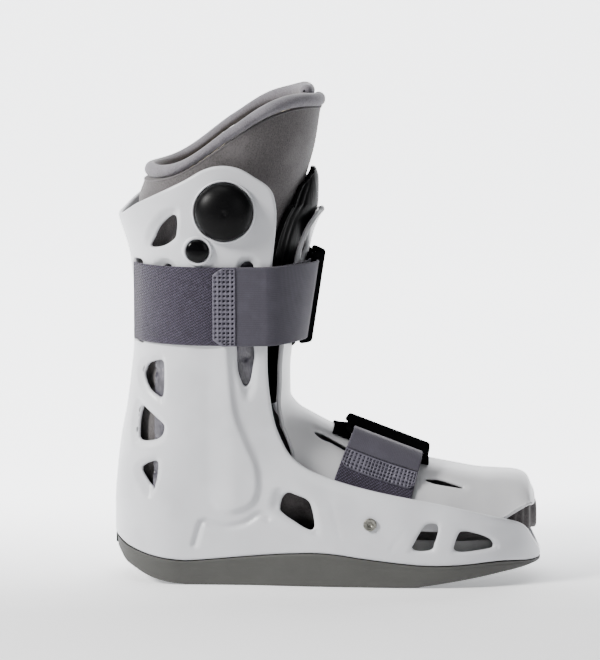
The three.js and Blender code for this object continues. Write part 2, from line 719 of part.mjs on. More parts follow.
function foldedStrap(base, outwards, backTo) {
  const last = base.length - 1;
  const spread = (k) => mix(LAYER, FOLD, smooth(last - 4, last - 1, k));
  const out = (k) => base[k].map(
    (p, i) => p.clone().addScaledVector(outwards(k, i), spread(k)),
  );
  const turn = [1, 2, 3].map((step) => base[last].map((p, i) => {
    const angle = (Math.PI * step) / 4;
    const ahead = p.clone().sub(base[last - 1][i]).normalize();
    return p.clone()
      .addScaledVector(outwards(last, i), (FOLD / 2) * (1 - Math.cos(angle)))
      .addScaledVector(ahead, (FOLD / 2) * Math.sin(angle));
  }));
  const back = [];
  for (let k = last; k >= backTo; k -= 1) back.push(out(k));
  return { grid: [...base, ...turn, ...back], out };
}

function across(width, steps, at) {
  const row = [];
  for (let i = 0; i <= steps; i += 1) row.push(at((i / steps - 0.5) * width));
  return row;
}

// The free span from the last row that hugs a surface to a ring's bar, and under the bar
const UNDER_BAR = RING_BAR / 2 + GAP + STRAP_THICKNESS / 2;

function spanned(rows, { at, forward, normal }, { sag, push, width, span }) {
  const last = rows[rows.length - 1];
  const bar = at.clone().addScaledVector(normal, -(sag + UNDER_BAR));
  for (let k = 1; k <= span; k += 1) {
    const t = k / span;
    rows.push(last.map((p, i) => {
      const v = (i / (last.length - 1) - 0.5) * width;
      const end = bar.clone().addScaledVector(forward, v).setY(-BAR_OUTSIDE);
      return p.clone().lerp(end, t).addScaledVector(push, Math.sin(Math.PI * t));
    }));
  }
  rows.push(rows[rows.length - 1].map((p) => new THREE.Vector3(p.x, -BAR_INSIDE, p.z)));
  return rows;
}

// Calf strap of the near side: along the shell from its slot, then across to the ring
function calfFrame() {
  const forward = new THREE.Vector3(CALF_STRAP_LEAN, 0, 1).normalize();
  const normal = new THREE.Vector3(1, 0, -CALF_STRAP_LEAN).normalize();
  const at = panelPoint(rowBelow(CALF_STRAP_AT.y / SHELL_HEIGHT), 0);
  at.x += CALF_RING.standOff;
  return { forward, normal, at };
}

function calfBase() {
  const { hug, span, across: cols } = CALF_STRAP_STEPS;
  const start = place(STRAP_SLOT.along, 0).x + SLOT_WIDTH / 3;
  const rows = [];
  const off = SEAT_GAP + STRAP_THICKNESS / 2;
  for (let k = 0; k <= hug; k += 1) {
    const x = mix(start, CALF_STRAP_AT.x, k / hug);
    rows.push(across(CALF_STRAP_WIDTH, cols, (v) => shellPoint(x, CALF_STRAP_AT.y + v, off)));
  }
  const push = new THREE.Vector3(CALF_STRAP_BULGE, -CALF_STRAP_BULGE, 0);
  return spanned(rows, calfFrame(), {
    sag: CALF_RING.sag, push, width: CALF_STRAP_WIDTH, span,
  });
}

function outwardsOf(base) {
  return (k, i) => {
    const a = base[Math.max(0, k - 1)][i];
    const b = base[Math.min(base.length - 1, k + 1)][i];
    const up = base[k][base[k].length - 1].clone().sub(base[k][0]);
    return b.clone().sub(a).cross(up).normalize().negate();
  };
}

function outward(base) {
  const of = outwardsOf(base);
  const sign = of(base.length - 3, 1).y < 0 ? 1 : -1;
  return (k, i) => of(k, i).multiplyScalar(sign);
}

function strap(base, steps) {
  const { grid } = foldedStrap(base, outward(base), steps.tabAt);
  return wall(grid, -STRAP_THICKNESS / 2, STRAP_THICKNESS / 2);
}

// The far side's strap ends a short way after its fold
function anchorStrap(base, steps) {
  const { grid } = foldedStrap(base, outward(base), base.length - steps.anchorTail);
  return mirrorGeometry(wall(grid, -STRAP_THICKNESS / 2, STRAP_THICKNESS / 2));
}

// The hook tab carries on where the outer layer ends, a gap after it
function hookTab(base, steps) {
  const { out } = foldedStrap(base, outward(base), steps.tabAt);
  const rows = [];
  for (let k = 0; k <= steps.tab; k += 1) rows.push(out(steps.tabAt - k));
  const step = rows[0][1].distanceTo(rows[1][1]);
  rows[0] = rows[0].map((p, i) => p.clone().lerp(rows[1][i], GAP / step));
  return wall(rows, -STRAP_THICKNESS / 2, STRAP_THICKNESS / 2);
}

function mirrorGeometry(geometry) {
  return geometryOf(mirrored(solid(geometry)));
}

// A plate with a slot at each side for a strap, bent so that its side bars lie behind its
// middle
function ring(length, sag) {
  const slotEdge = RING_HALF_SPAN - RING_BAR_WIDTH / 2;
  const halfX = RING_HALF_SPAN + RING_BAR_WIDTH / 2;
  const halfY = length / 2 + RING_END_ROOM;
  const across = [-halfX];
  for (let i = 0; i <= RING_STEPS; i += 1) across.push(mix(-slotEdge, slotEdge, i / RING_STEPS));
  across.push(halfX);
  const row = (y) => across.map((x) => {
    const s = Math.min(1, Math.abs(x) / slotEdge);
    return new THREE.Vector3(x, y, -sag * s * s);
  });
  const plate = solid(wall([row(-halfY), row(halfY)], -RING_BAR / 2, RING_BAR / 2));
  const slot = (side) => solid(new THREE.BoxGeometry(
    RING_SLOT, 2 * (halfY - RING_BAR_WIDTH), 4 * sag,
  ).translate(side * (slotEdge - RING_SLOT / 2), 0, -sag));
  return geometryOf(plate.subtract(slot(1)).subtract(slot(-1)));
}

function stand(geometry, { at, forward, normal }) {
  const side = new THREE.Vector3().crossVectors(forward, normal).normalize();
  const basis = new THREE.Matrix4().makeBasis(side, forward, normal).setPosition(at);
  return geometry.applyMatrix4(basis);
}

function calfRing() {
  return stand(ring(CALF_STRAP_WIDTH, CALF_RING.sag), calfFrame());
}

// Pads under the rings follow the front cover, and are thick in the middle only
function ringPad(from, to) {
  const grid = [];
  const { along, across: cols } = RING_PAD_STEPS;
  const { half, middle, side, fullTo, thinFrom, ends } = RING_PAD;
  for (let k = 0; k <= along; k += 1) {
    const at = mix(from, to, k / along);
    const edge = half / (panelOf.half(at) * BALL_WIDTH);
    grid.push(across(2 * edge, cols, (t) => panelPoint(at, -t)));
  }
  const top = (k, i) => {
    const sideways = smooth(fullTo, thinFrom, Math.abs((2 * i) / cols - 1));
    const lengthways = smooth(0, ends, Math.min(k, along - k) / along);
    return SEAT_GAP + mix(side, middle, lengthways * (1 - sideways));
  };
  return wall(grid, SEAT_GAP, top);
}

function calfRingPad() {
  const half = CALF_STRAP_WIDTH / 2 + RING_END_ROOM;
  const [top, low] = [half, -half].map((v) => (CALF_STRAP_AT.y + v) / SHELL_HEIGHT);
  return ringPad(rowBelow(top), rowBelow(low));
}

const footRow = {
  from: rowPast(FOOT_RING.along - FOOT_RING.half),
  to: rowPast(FOOT_RING.along + FOOT_RING.half),
};

function footRingPad() {
  return ringPad(rowPast(FOOT_RING.padFrom), rowPast(FOOT_RING.padTo));
}

function footFrame() {
  const a = panelPoint(footRow.from, 0);
  const b = panelPoint(footRow.to, 0);
  const forward = b.clone().sub(a).normalize();
  const normal = new THREE.Vector3(-forward.z, 0, forward.x);
  const middle = a.clone().add(b).multiplyScalar(0.5);
  return { forward, normal, at: middle.addScaledVector(normal, FOOT_RING.rise) };
}

function footRing() {
  return stand(ring(FOOT_STRAP_WIDTH, FOOT_RING.sag), footFrame());
}

// Foot strap of the near side: up the cover's flank to the ring's bar
function footBase() {
  const frame = footFrame();
  const { hug, span, across: cols } = FOOT_STRAP_STEPS;
  const off = SEAT_GAP + STRAP_THICKNESS / 2;
  const rows = [];
  for (let k = 0; k <= hug; k += 1) {
    const t = -mix(FOOT_STRAP_REACH.low, FOOT_STRAP_REACH.high, k / hug);
    rows.push(across(1, cols, (v) => {
      const row = mix(footRow.from, footRow.to, v + 0.5);
      const p = panelPoint(row, t);
      const q = panelPoint(row, t + 0.02).sub(p);
      const out = q.cross(frame.forward).normalize();
      return p.addScaledVector(out.z < out.y ? out.negate() : out, off);
    }));
  }
  const push = frame.normal.clone().multiplyScalar(FOOT_STRAP_BULGE);
  return spanned(rows, frame, {
    sag: FOOT_RING.sag, push, width: FOOT_STRAP_WIDTH, span,
  });
}

// Turned pieces, their axis along Y and their crown towards -Y
function turned(profile, at, face, sides) {
  const points = profile.map(([r, h]) => new THREE.Vector2(r, h));
  const geometry = new THREE.LatheGeometry(points, sides);
  return solid(geometry.rotateX(Math.PI).translate(at.x, face, at.y));
}

function dome(radius, rise, base) {
  const profile = [[0, -base], [radius, -base]];
  for (let i = 0; i <= 5; i += 1) {
    const turn = (Math.PI / 2) * (i / 5);
    profile.push([radius * Math.cos(turn), rise * Math.sin(turn)]);
  }
  profile[profile.length - 1][0] = 0;
  return profile;
}

function pumpBulb() {
  const seat = BOSS_RISE / 2 - GAP;
  return turned(dome(BULB_RADIUS, BULB_RISE, seat), BULB_AT, bulbFace, 24);
}

function releaseButton() {
  return turned(dome(BUTTON_RADIUS, BUTTON_DOME, BUTTON_BODY), BUTTON_AT, buttonFace, 18);
}

function screw() {
  const profile = [
    [0, -SHELL_WALL], [SCREW_SHANK_RADIUS, -SHELL_WALL], [SCREW_SHANK_RADIUS, 0],
    [SCREW_HEAD_RADIUS, 0], [SCREW_HEAD_RADIUS, SCREW_HEAD], [0, SCREW_HEAD],
  ];
  return turned(profile, SCREW_AT, screwFace, SCREW_SIDES);
}

const calfRows = calfBase();
const footRows = footBase();
const boot = new THREE.Group();

function add(name, look, made) {
  const geometry = made.isBufferGeometry ? made : geometryOf(made);
  const mesh = new THREE.Mesh(geometry, new THREE.MeshStandardMaterial(LOOKS[look]));
  mesh.name = name;
  boot.add(mesh);
}

add('rear_shell', 'shell', rearShell());
add('front_panel', 'shell', frontPanel());
add('outsole', 'sole', outsole());
add('liner', 'knit', liner());
add('liner_binding', 'binding', linerBinding());
add('liner_lining', 'lining', liningSleeve());
add('shin_pad', 'pad', shinPad());
add('air_cell_near', 'film', airCell());
add('air_cell_far', 'film', mirrorGeometry(airCell()));
add('pump_bulb', 'rubber', pumpBulb());
add('release_button', 'rubber', releaseButton());
add('calf_strap', 'loop', strap(calfRows, CALF_STRAP_STEPS));
add('calf_hook_tab', 'hook', hookTab(calfRows, CALF_STRAP_STEPS));
add('calf_ring', 'ring', calfRing());
add('calf_ring_pad', 'pad', calfRingPad());
add('calf_anchor_strap', 'loop', anchorStrap(calfRows, CALF_STRAP_STEPS));
add('foot_strap', 'loop', strap(footRows, FOOT_STRAP_STEPS));
add('foot_hook_tab', 'hook', hookTab(footRows, FOOT_STRAP_STEPS));
add('foot_ring', 'ring', footRing());
add('foot_ring_pad', 'pad', footRingPad());
add('foot_anchor_strap', 'loop', anchorStrap(footRows, FOOT_STRAP_STEPS));
add('screw_near', 'steel', screw());
add('screw_far', 'steel', mirrored(screw()));

export default boot;
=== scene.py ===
import math

import bpy
import numpy as np
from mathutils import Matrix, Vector
from mathutils.geometry import delaunay_2d_cdt


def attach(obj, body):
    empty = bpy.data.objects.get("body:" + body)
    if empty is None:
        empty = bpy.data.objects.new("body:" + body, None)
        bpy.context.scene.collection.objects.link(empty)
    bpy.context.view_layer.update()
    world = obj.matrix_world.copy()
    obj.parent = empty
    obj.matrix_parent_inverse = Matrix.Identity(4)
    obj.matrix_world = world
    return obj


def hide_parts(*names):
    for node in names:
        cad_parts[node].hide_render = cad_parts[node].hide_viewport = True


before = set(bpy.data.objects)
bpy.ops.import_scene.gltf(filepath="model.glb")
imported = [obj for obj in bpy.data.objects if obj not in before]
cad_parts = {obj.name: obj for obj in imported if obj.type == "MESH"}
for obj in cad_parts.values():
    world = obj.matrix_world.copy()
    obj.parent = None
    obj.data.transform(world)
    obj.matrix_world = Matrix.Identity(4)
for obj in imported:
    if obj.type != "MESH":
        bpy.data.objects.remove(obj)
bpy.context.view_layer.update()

# Millimetres throughout, made metres where a mesh is built: +X to the toe, +Z up, near side at -Y
MM = 0.001
BOOT_LENGTH = 299
SHELL_HEIGHT = 295
BALL_WIDTH = 120
CALF_WIDTH = 128
SHELL_WALL = 3.2
PANEL_WALL = 3
LINER_WALL = 6
SHIN_PAD_WALL = 4
GAP = 0.4
SEAT_GAP = 0.9
SOLE_TAPER = 4
COLLAR_ROLL = 4.8
BULB_RADIUS = 20
BULB_RISE = 11
BOSS_RADIUS = 21.8
BOSS_RISE = 2
BUTTON_RADIUS = 7.7
BUTTON_BODY = 3.4
BUTTON_DOME = 2.2
COLLAR_RADIUS = 10
COLLAR_RISE = 3.4
COLLAR_CLEARANCE = 1.1
SCREW_HEAD_RADIUS = 4.6
SCREW_HEAD = 1.6
STRAP_THICKNESS = 1.6
CALF_STRAP_WIDTH = 55
CALF_STRAP_LEAN = 0.15
FOOT_STRAP_WIDTH = 51
RING_BAR = 3.2
RING_BAR_WIDTH = 4
RING_HALF_SPAN = 23
RING_SLOT = 4.8
RING_END_ROOM = 5
CALF_RING = {"stand_off": 10.7, "sag": 6.5}
RING_PAD = {"half": 20, "middle": 6.5, "side": 1, "full_to": 0.3, "thin_from": 0.78, "ends": 0.3}
CALF_STRAP_BULGE = 2
FOOT_STRAP_BULGE = 3
BAR_OUTSIDE = RING_HALF_SPAN + RING_BAR_WIDTH / 2 + 2 * GAP
BAR_INSIDE = RING_HALF_SPAN - RING_BAR_WIDTH / 2 - GAP


def table(*rows):
    """Rows of thousandths as shares."""
    return np.array(rows) / 1000


# Side view tables: (along, up) in thousandths of the boot's length and the shell's height
TOP_EDGE = table(
    (-20, 862), (13, 872), (60, 908), (165, 963), (212, 990), (252, 1000), (294, 994), (331, 973),
    (364, 949), (378, 918), (381, 865), (371, 762), (362, 637), (360, 541), (364, 470),
    (376, 395), (397, 339), (420, 305), (458, 278), (528, 252), (622, 228), (762, 201),
    (856, 178), (935, 154), (966, 132), (989, 89), (1000, 70), (1020, 60))
PARTING_LINE = table(
    (1020, 46), (980, 52), (903, 62), (809, 57), (739, 55), (669, 60), (587, 70), (493, 82),
    (411, 81), (317, 73), (200, 62), (154, 61), (95, 69), (36, 86), (4, 103), (-30, 112))
SOLE_UNDERSIDE = table(
    (-30, 86), (6, 76), (27, 50), (46, 38), (67, 26), (88, 16), (111, 9), (135, 4), (165, 1),
    (200, 0), (660, 0), (715, 3), (762, 10), (809, 18), (856, 26), (903, 34), (949, 39),
    (980, 43), (1020, 44))
BACK_PROFILE = table(  # up, along
    (0, 10), (79, 7), (122, 1), (180, 1), (256, 6), (333, 15), (410, 29), (486, 39), (563, 46),
    (678, 46), (755, 41), (793, 34), (831, 22), (870, 11), (1040, 0))
FOOT_HALF = table(  # along, half width as a share of BALL_WIDTH
    (0, 385), (150, 385), (300, 400), (430, 440), (570, 475), (700, 497), (785, 500), (870, 495),
    (1000, 480))
LEG_HALF = table(  # up, half width as a share of CALF_WIDTH
    (0, 410), (350, 415), (500, 430), (650, 455), (800, 485), (900, 500), (1040, 505))

# Vents: the hole, and the edge of the dish round it
VENTS = [
    (table((90, 806), (95, 824), (111, 855), (132, 876), (146, 881), (150, 869), (149, 847),
           (143, 828), (118, 811)),
     table((76, 816), (83, 845), (97, 871), (118, 894), (142, 903), (158, 901), (161, 875),
           (158, 841), (151, 821), (118, 801), (93, 796))),
    (table((101, 690), (107, 737), (121, 759), (135, 759), (139, 725), (135, 677), (114, 672)),
     table((83, 690), (88, 746), (102, 775), (121, 784), (139, 781), (154, 758), (154, 700),
           (144, 662), (107, 652))),
    (table((67, 501), (72, 516), (83, 526), (102, 533), (111, 534), (116, 527), (116, 489),
           (114, 457), (109, 450), (100, 454), (83, 466), (72, 481)),
     table((56, 510), (62, 530), (79, 542), (107, 550), (123, 545), (127, 502), (125, 458),
           (118, 429), (102, 437), (83, 451), (62, 470))),
    (table((55, 351), (55, 386), (60, 415), (65, 421), (74, 415), (95, 398), (114, 383),
           (116, 374), (111, 359), (95, 348), (65, 343)),
     table((43, 337), (43, 395), (55, 437), (69, 435), (102, 413), (125, 390), (127, 365),
           (118, 342), (95, 329), (55, 325))),
    (table((62, 273), (72, 284), (90, 292), (100, 293), (102, 286), (100, 262), (95, 238),
           (90, 230), (74, 251)),
     table((46, 267), (48, 281), (60, 294), (83, 306), (107, 308), (113, 286), (110, 255),
           (100, 224), (88, 207), (74, 210), (55, 237))),
    (table((292, 559), (292, 583), (306, 595), (324, 588), (327, 566), (327, 542), (322, 505),
           (317, 486), (310, 479), (303, 489), (294, 518)),
     table((280, 581), (282, 530), (294, 481), (306, 448), (317, 444), (329, 460), (336, 493),
           (338, 566), (336, 600), (308, 614))),
    (table((300, 714), (296, 746), (303, 767), (317, 772), (327, 762), (327, 722), (315, 703)),
     table((289, 755), (296, 783), (318, 792), (338, 779), (343, 735), (331, 695), (303, 690))),
    (table((388, 187), (390, 203), (397, 218), (409, 223), (423, 218), (446, 209), (456, 197),
           (463, 169), (465, 145), (460, 140), (446, 145), (423, 159), (399, 175)),
     table((362, 203), (366, 220), (373, 234), (383, 239), (399, 237), (434, 228), (458, 214),
           (471, 197), (479, 157), (480, 129), (474, 124), (458, 131), (411, 154), (369, 182))),
    (table((697, 105), (704, 119), (720, 146), (729, 153), (741, 155), (751, 150), (751, 136),
           (743, 110), (739, 98), (725, 94), (706, 94), (695, 98)),
     table((683, 89), (694, 110), (715, 146), (727, 161), (743, 163), (758, 161), (761, 150),
           (755, 119), (747, 89), (733, 84), (706, 84))),
    (table((793, 96), (795, 110), (802, 129), (809, 136), (823, 135), (851, 127), (872, 117),
           (882, 107), (882, 98), (844, 93), (809, 91)),
     table((779, 87), (783, 100), (797, 138), (804, 145), (823, 145), (856, 137), (884, 120),
           (899, 100), (896, 90), (856, 84), (809, 81))),
]
DISH = {"depth": 3.6, "slope": 0.5, "full_at": 0.8}
ANKLE_EDGE = table(
    (272, 650), (275, 590), (280, 518), (285, 457), (294, 409), (308, 372), (322, 335),
    (336, 303), (343, 274), (345, 250), (343, 226), (334, 202), (317, 185), (299, 176),
    (271, 171), (240, 180), (215, 205))
ANKLE_BACK = table((100, 220), (100, 650))
ANKLE_RISE = {"rise": 3.0, "edge": 4.4, "fade": (0.215, 0.29), "top": (0.56, 0.64)}
LOW_CREASE = table(
    (189, 99), (198, 130), (205, 151), (217, 155), (235, 149), (259, 143), (282, 145), (306, 152),
    (322, 162), (336, 172), (348, 172), (360, 165))
CREASE = {"depth": 2.2, "width": 2.0}
FOOT_CREASE = {"depth": 0.25, "width": 1.6}
LIP = {"width": 5.5, "soft": 1.5, "step": 0.7, "along": (0.42, 0.50), "up": (0.12, 0.17)}
FOOT_CREASES = [table((505, 205), (528, 110)), table((673, 136), (645, 95))]

# Front cover: its ridge, and across it the half width and drop as shares of BALL_WIDTH
PANEL = table(  # along, up, half, drop, power
    (493, 879, 30, 2, 2000), (480, 858, 140, 20, 2000), (467, 825, 230, 42, 2000),
    (455, 775, 285, 58, 2000), (445, 710, 305, 64, 2000), (432, 640, 315, 64, 2000),
    (420, 575, 317, 60, 2000), (412, 500, 317, 54, 2100), (413, 440, 318, 64, 2300),
    (430, 410, 325, 120, 2500), (468, 386, 338, 250, 2800), (509, 364, 345, 340, 3000),
    (610, 323, 368, 390, 3200), (713, 283, 398, 370, 3400), (781, 268, 410, 340, 3400),
    (865, 254, 392, 290, 3200), (935, 251, 342, 195, 2800), (966, 240, 320, 140, 2600),
    (985, 199, 270, 85, 2400))
PANEL_SLOTS = [
    table((462, 842), (451, 822), (445, 805), (441, 786), (442, 762), (448, 776), (456, 800)),
    table((727, 248), (745, 249), (764, 246), (816, 229), (781, 234), (745, 240)),
    table((470, 357), (493, 350), (547, 319), (543, 314), (510, 332), (485, 343)),
]
SHIN_PAD = table(  # along, up, half, drop, power
    (470, 981, 50, 10, 2000), (478, 950, 170, 85, 2000), (476, 895, 260, 135, 2000),
    (456, 837, 315, 155, 2000), (443, 780, 350, 170, 2000), (428, 705, 375, 180, 2000),
    (413, 624, 385, 190, 2000), (401, 542, 385, 190, 2000), (396, 475, 375, 180, 2000),
    (399, 425, 355, 170, 2000))
LINER = table(  # back along, back up, front along, front up, half, bow, skew, power
    (74, 952, 484, 1124, 441, 17, 55, 2200), (60, 900, 468, 1030, 431, 6, 20, 2100),
    (58, 820, 441, 925, 409, 0, 0, 2000), (60, 730, 414, 800, 394, 0, 0, 2100),
    (68, 620, 388, 670, 367, 0, 0, 2100), (68, 500, 370, 550, 347, 0, 0, 2100),
    (60, 390, 364, 470, 326, 0, 0, 2200), (46, 290, 366, 425, 302, 0, 0, 2200),
    (36, 200, 373, 400, 283, 0, 0, 2300), (80, 120, 384, 380, 283, 0, 0, 2400),
    (170, 98, 406, 358, 292, 0, 0, 2400), (300, 98, 443, 336, 294, 0, 0, 2400),
    (430, 108, 498, 312, 296, 0, 0, 2400), (560, 105, 585, 272, 298, 0, 0, 2400),
    (690, 88, 700, 236, 320, 0, 0, 2500), (810, 86, 810, 216, 328, 0, 0, 2500),
    (905, 92, 900, 208, 300, 0, 0, 2500), (960, 100, 958, 198, 240, 0, 0, 2400),
    (992, 120, 990, 180, 130, 0, 0, 2200))
LINER_FOOT = (8, 10)
LINER_INSIDE_ROWS = 17
CALF_STRAP_AT = (0.377, 0.671)
BUTTON_ALONG = 0.200
BULB_FROM_BUTTON = (17.9, 27.1)
SCREW_AT = (0.596, 0.154)
AIR_CELL = {"from": 0.085, "to": 0.350, "low": 0.225, "high": 0.780,
            "film": 1.6, "deep": 1.5, "weld": 1.1, "spots": (19, 23)}
STRAP_SLOT = {"along": 0.050, "width": 6}
FOOT_RING = {"along": 0.632, "half": 0.081, "rise": 9.9, "sag": 6,
             "pad_from": 0.514, "pad_to": 0.735}
FOOT_STRAP_REACH = {"low": 0.97, "high": 0.72}

# Plan of the shell: the centres and power of its round ends, and where foot turns to leg
PLAN = {"power": 2.3, "heel": 0.165, "toe": 0.750, "leg": 0.255, "leg_reach": 0.335}
LEG_UP = (0.20, 0.44)
LEG_ALONG = (0.40, 0.60)
FOOT_LEAN = {"share": 0.07, "from": 0.08, "to": 0.34}
SOLE_TAPER_UP = 0.075
SOLE = {"edge": 2.2, "edge_share": 0.45, "heel_in": 0.6, "toe_in": 0.2, "least": 0.6}
SOLE_GROOVE = {"depth": 0.35, "width": 0.7, "at": 0.80}

# Cover and shin pad: the row from which the cover's depth keeps its way, and the radians of the
# sine that spreads points over an arch
STEADY_ROW = 15.5
FLANK_TURN = 1.2566
PANEL_SHEET = {"width": 62, "step": 1.8, "corner": 9, "low_corner": (34, 27)}
PAD_SHEET = {"width": 56, "step": 2.0, "corner": 12, "low_corner": (12, 12)}
PANEL_BORDER = {"raised": 0.35, "full_to": 2.5, "gone_at": 4.5}
PANEL_SLOT_DISH = {"depth": 0.9, "reach": 5}
PAD_CREASES = ((0.62, 2.5), (0.80, 1.6), (0.93, 1.0))  # share of the width, sway
PAD_CREASE = {"depth": 0.6, "width": 1.7}

# Tape: the base row its outer layer comes back to, the rows of that layer on the far side, the
# fine rows of wrap, pull and far strap, and its tab
CALF_STRAP = {"back_to": 13, "far_back": 4, "rows": (170, 130, 200),
              "tab": {"rows": (10, 13), "corner": 6.5, "pitch": 2.9, "hole": 0.78}}
FOOT_STRAP = {"back_to": 9, "far_back": 3, "rows": (120, 90, 140),
              "tab": {"rows": (6, 9), "corner": 4.5, "pitch": 2.5, "hole": 0.62}}
TAB = {"inset": 0.3, "side_room": 0.7, "end_room": 1.2, "clear": 0.05, "step": 1.3}
RING_PLATE = {"corner": 4.5, "slot_corner": 1.2, "step": 1.2}

# Liner, collar and pump
LINER_FOLDS = {"height": 0.35, "by_row": 2.1}
TOE_RIBS = {"depth": 0.9, "pitch": 5.2, "from": 15.6, "full": 16.4}
LINING = {"from": 0.03, "to": 1.6, "thick": 0.9}
SEAM_CORD = {"row": 0.05, "out": 0.1, "radius": 0.6}
BULB_DIMPLE = {"depth": 0.9, "width": 1.7}
ROLL = {"near_past": 0.10, "far_past": 0.30, "lift": 0.4, "far_rise": 4.6, "far_tuck": 1.7}


def mix(a, b, t):
    return a + (b - a) * t


def smooth(a, b, x):
    """0 before a, 1 after b, and 3t^2 - 2t^3 between them."""
    t = np.clip((x - a) / (b - a), 0, 1)
    return t * t * (3 - 2 * t)


def place(along, up):
    """Shares of the boot's length and height as millimetres from the middle of the sole."""
    return (np.asarray(along, float) - 0.5) * BOOT_LENGTH, np.asarray(up, float) * SHELL_HEIGHT


strap_edge, strap_z = (float(v) for v in place(*CALF_STRAP_AT))
button_at = np.array([float(place(BUTTON_ALONG, 0)[0]),
                      strap_z + CALF_STRAP_WIDTH / 2 + COLLAR_RADIUS + COLLAR_CLEARANCE])
bulb_at = button_at + BULB_FROM_BUTTON
screw_at = np.array([float(v) for v in place(*SCREW_AT)])


def full_turn(count):
    """Angles evenly round a circle."""
    return np.linspace(0, 2 * np.pi, count, endpoint=False)


def unit(v):
    return v / np.maximum(np.linalg.norm(v, axis=-1, keepdims=True), 1e-12)


def column(rows, what=1, by=0):
    """A table's column as a monotone cubic: Hermite pieces with harmonic mean slopes."""
    t, v = np.array(rows, float)[:, [by, what]].T
    rise = np.diff(v) / np.diff(t)
    product = rise[:-1] * rise[1:]
    total = np.where(product > 0, rise[:-1] + rise[1:], 1)
    slope = np.concatenate([rise[:1], np.where(product > 0, 2 * product / total, 0), rise[-1:]])

    def at(x):
        x = np.clip(x, t[0], t[-1])
        i = np.clip(np.searchsorted(t, x, side="right") - 1, 0, len(t) - 2)
        span = t[i + 1] - t[i]
        u = (x - t[i]) / span
        bend = (u**3 - 2 * u**2 + u) * slope[i] + (u**3 - u**2) * slope[i + 1]
        return mix(v[i], v[i + 1], u * u * (3 - 2 * u)) + bend * span

    return at


def numbered(rows):
    """Every column of a table as a monotone cubic of the row number."""
    rows = [(k, *row) for k, row in enumerate(rows)]
    return [column(rows, i) for i in range(1, len(rows[0]))]


def curve(points, steps, closed=False):
    """Catmull-Rom curve through points: each span blends four neighbours by a cubic."""
    p = np.array(points, float)
    n = len(p)
    t = np.linspace(0, n if closed else n - 1, steps, endpoint=not closed)
    i = np.minimum(t.astype(int), n - 1 if closed else n - 2)
    u = (t - i)[:, None]
    if closed:
        a, b, c, d = (p[(i + k) % n] for k in (-1, 0, 1, 2))
    else:
        a, b, c, d = (p[np.clip(i + k, 0, n - 1)] for k in (-1, 0, 1, 2))
    return 0.5 * (2 * b + (c - a) * u + (2 * a - 5 * b + 4 * c - d) * u**2
                  + (3 * b - a - 3 * c + d) * u**3)


def run_along(line):
    """The length of a line up to each of its points."""
    return np.concatenate([[0], np.cumsum(np.linalg.norm(np.diff(line, axis=0), axis=1))])


def evenly(points, step, closed=False):
    """The same line with its points about a step apart along it."""
    p = np.vstack([points, points[:1]]) if closed else np.asarray(points)
    run = run_along(p)
    count = max(3, int(round(run[-1] / step)) + 1)
    at = np.linspace(0, run[-1], count)
    if closed:
        at = at[:-1]
    return np.column_stack([np.interp(at, run, p[:, k]) for k in range(p.shape[1])])


def distance(points, line, closed=False):
    """Least distance from each point to a line of straight pieces."""
    a = np.asarray(line)
    b = np.roll(a, -1, axis=0) if closed else a[1:]
    a = a if closed else a[:-1]
    best = np.full(len(points), 1e9)
    for start, end in zip(a, b):
        d = end - start
        t = np.clip(((points - start) @ d) / max(d @ d, 1e-12), 0, 1)
        best = np.minimum(best, np.linalg.norm(points - start - t[:, None] * d, axis=1))
    return best


def inside(points, outline):
    """Which points lie in a closed outline: an odd number of its sides to their right."""
    x, y = points[:, 0], points[:, 1]
    odd = np.zeros(len(points), bool)
    for (ax, ay), (bx, by) in zip(outline, np.roll(outline, -1, axis=0)):
        if ay == by:
            continue
        odd ^= ((ay > y) != (by > y)) & (x < (bx - ax) * (y - ay) / (by - ay) + ax)
    return odd


# Meshes
def made_mesh(name, points, faces, uv=None):
    """A mesh object from millimetre points, arrays of faces, and one UV place for each point."""
    sizes = np.concatenate([np.full(len(f), f.shape[1]) for f in faces])
    loops = np.concatenate([f.ravel() for f in faces]).astype(np.int32)
    mesh = bpy.data.meshes.new(name)
    mesh.vertices.add(len(points))
    mesh.vertices.foreach_set("co", (points * MM).astype(np.float32).ravel())
    mesh.loops.add(len(loops))
    mesh.loops.foreach_set("vertex_index", loops)
    mesh.polygons.add(len(sizes))
    mesh.polygons.foreach_set("loop_start", (np.cumsum(sizes) - sizes).astype(np.int32))
    mesh.polygons.foreach_set("use_smooth", np.ones(len(sizes), bool))
    if uv is not None:
        layer = mesh.uv_layers.new(name="along_across")
        layer.data.foreach_set("uv", uv[loops].astype(np.float32).ravel())
    mesh.update(calc_edges=True)
    mesh.validate()
    thing = bpy.data.objects.new(name, mesh)
    bpy.context.scene.collection.objects.link(thing)
    return thing


def fitted(thing, look, nodes=(), body="boot"):
    """Gives a piece its finish and the body it rides on, and hides the nodes it stands for."""
    thing.data.materials.append(look)
    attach(thing, body)
    if nodes:
        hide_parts(*nodes)


def quads(rows, cols, round_rows=False, round_cols=False):
    """Faces of a grid of points; a round direction joins its last line to its first."""
    i, j = np.meshgrid(np.arange(rows if round_rows else rows - 1),
                       np.arange(cols if round_cols else cols - 1), indexing="ij")
    i, j = i.ravel(), j.ravel()
    a, b = i * cols + j, i * cols + (j + 1) % cols
    c, d = (i + 1) % rows * cols + (j + 1) % cols, (i + 1) % rows * cols + j
    return np.column_stack([a, b, c, d])


def refined(grid, rows, cols):
    """A rough grid of points made fine, by Catmull-Rom curves down it and then across it."""
    k, n, _ = grid.shape
    down = curve(grid.reshape(k, n * 3), rows).reshape(rows, n, 3)
    wide = curve(down.transpose(1, 0, 2).reshape(n, rows * 3), cols)
    return wide.reshape(cols, rows, 3).transpose(1, 0, 2)


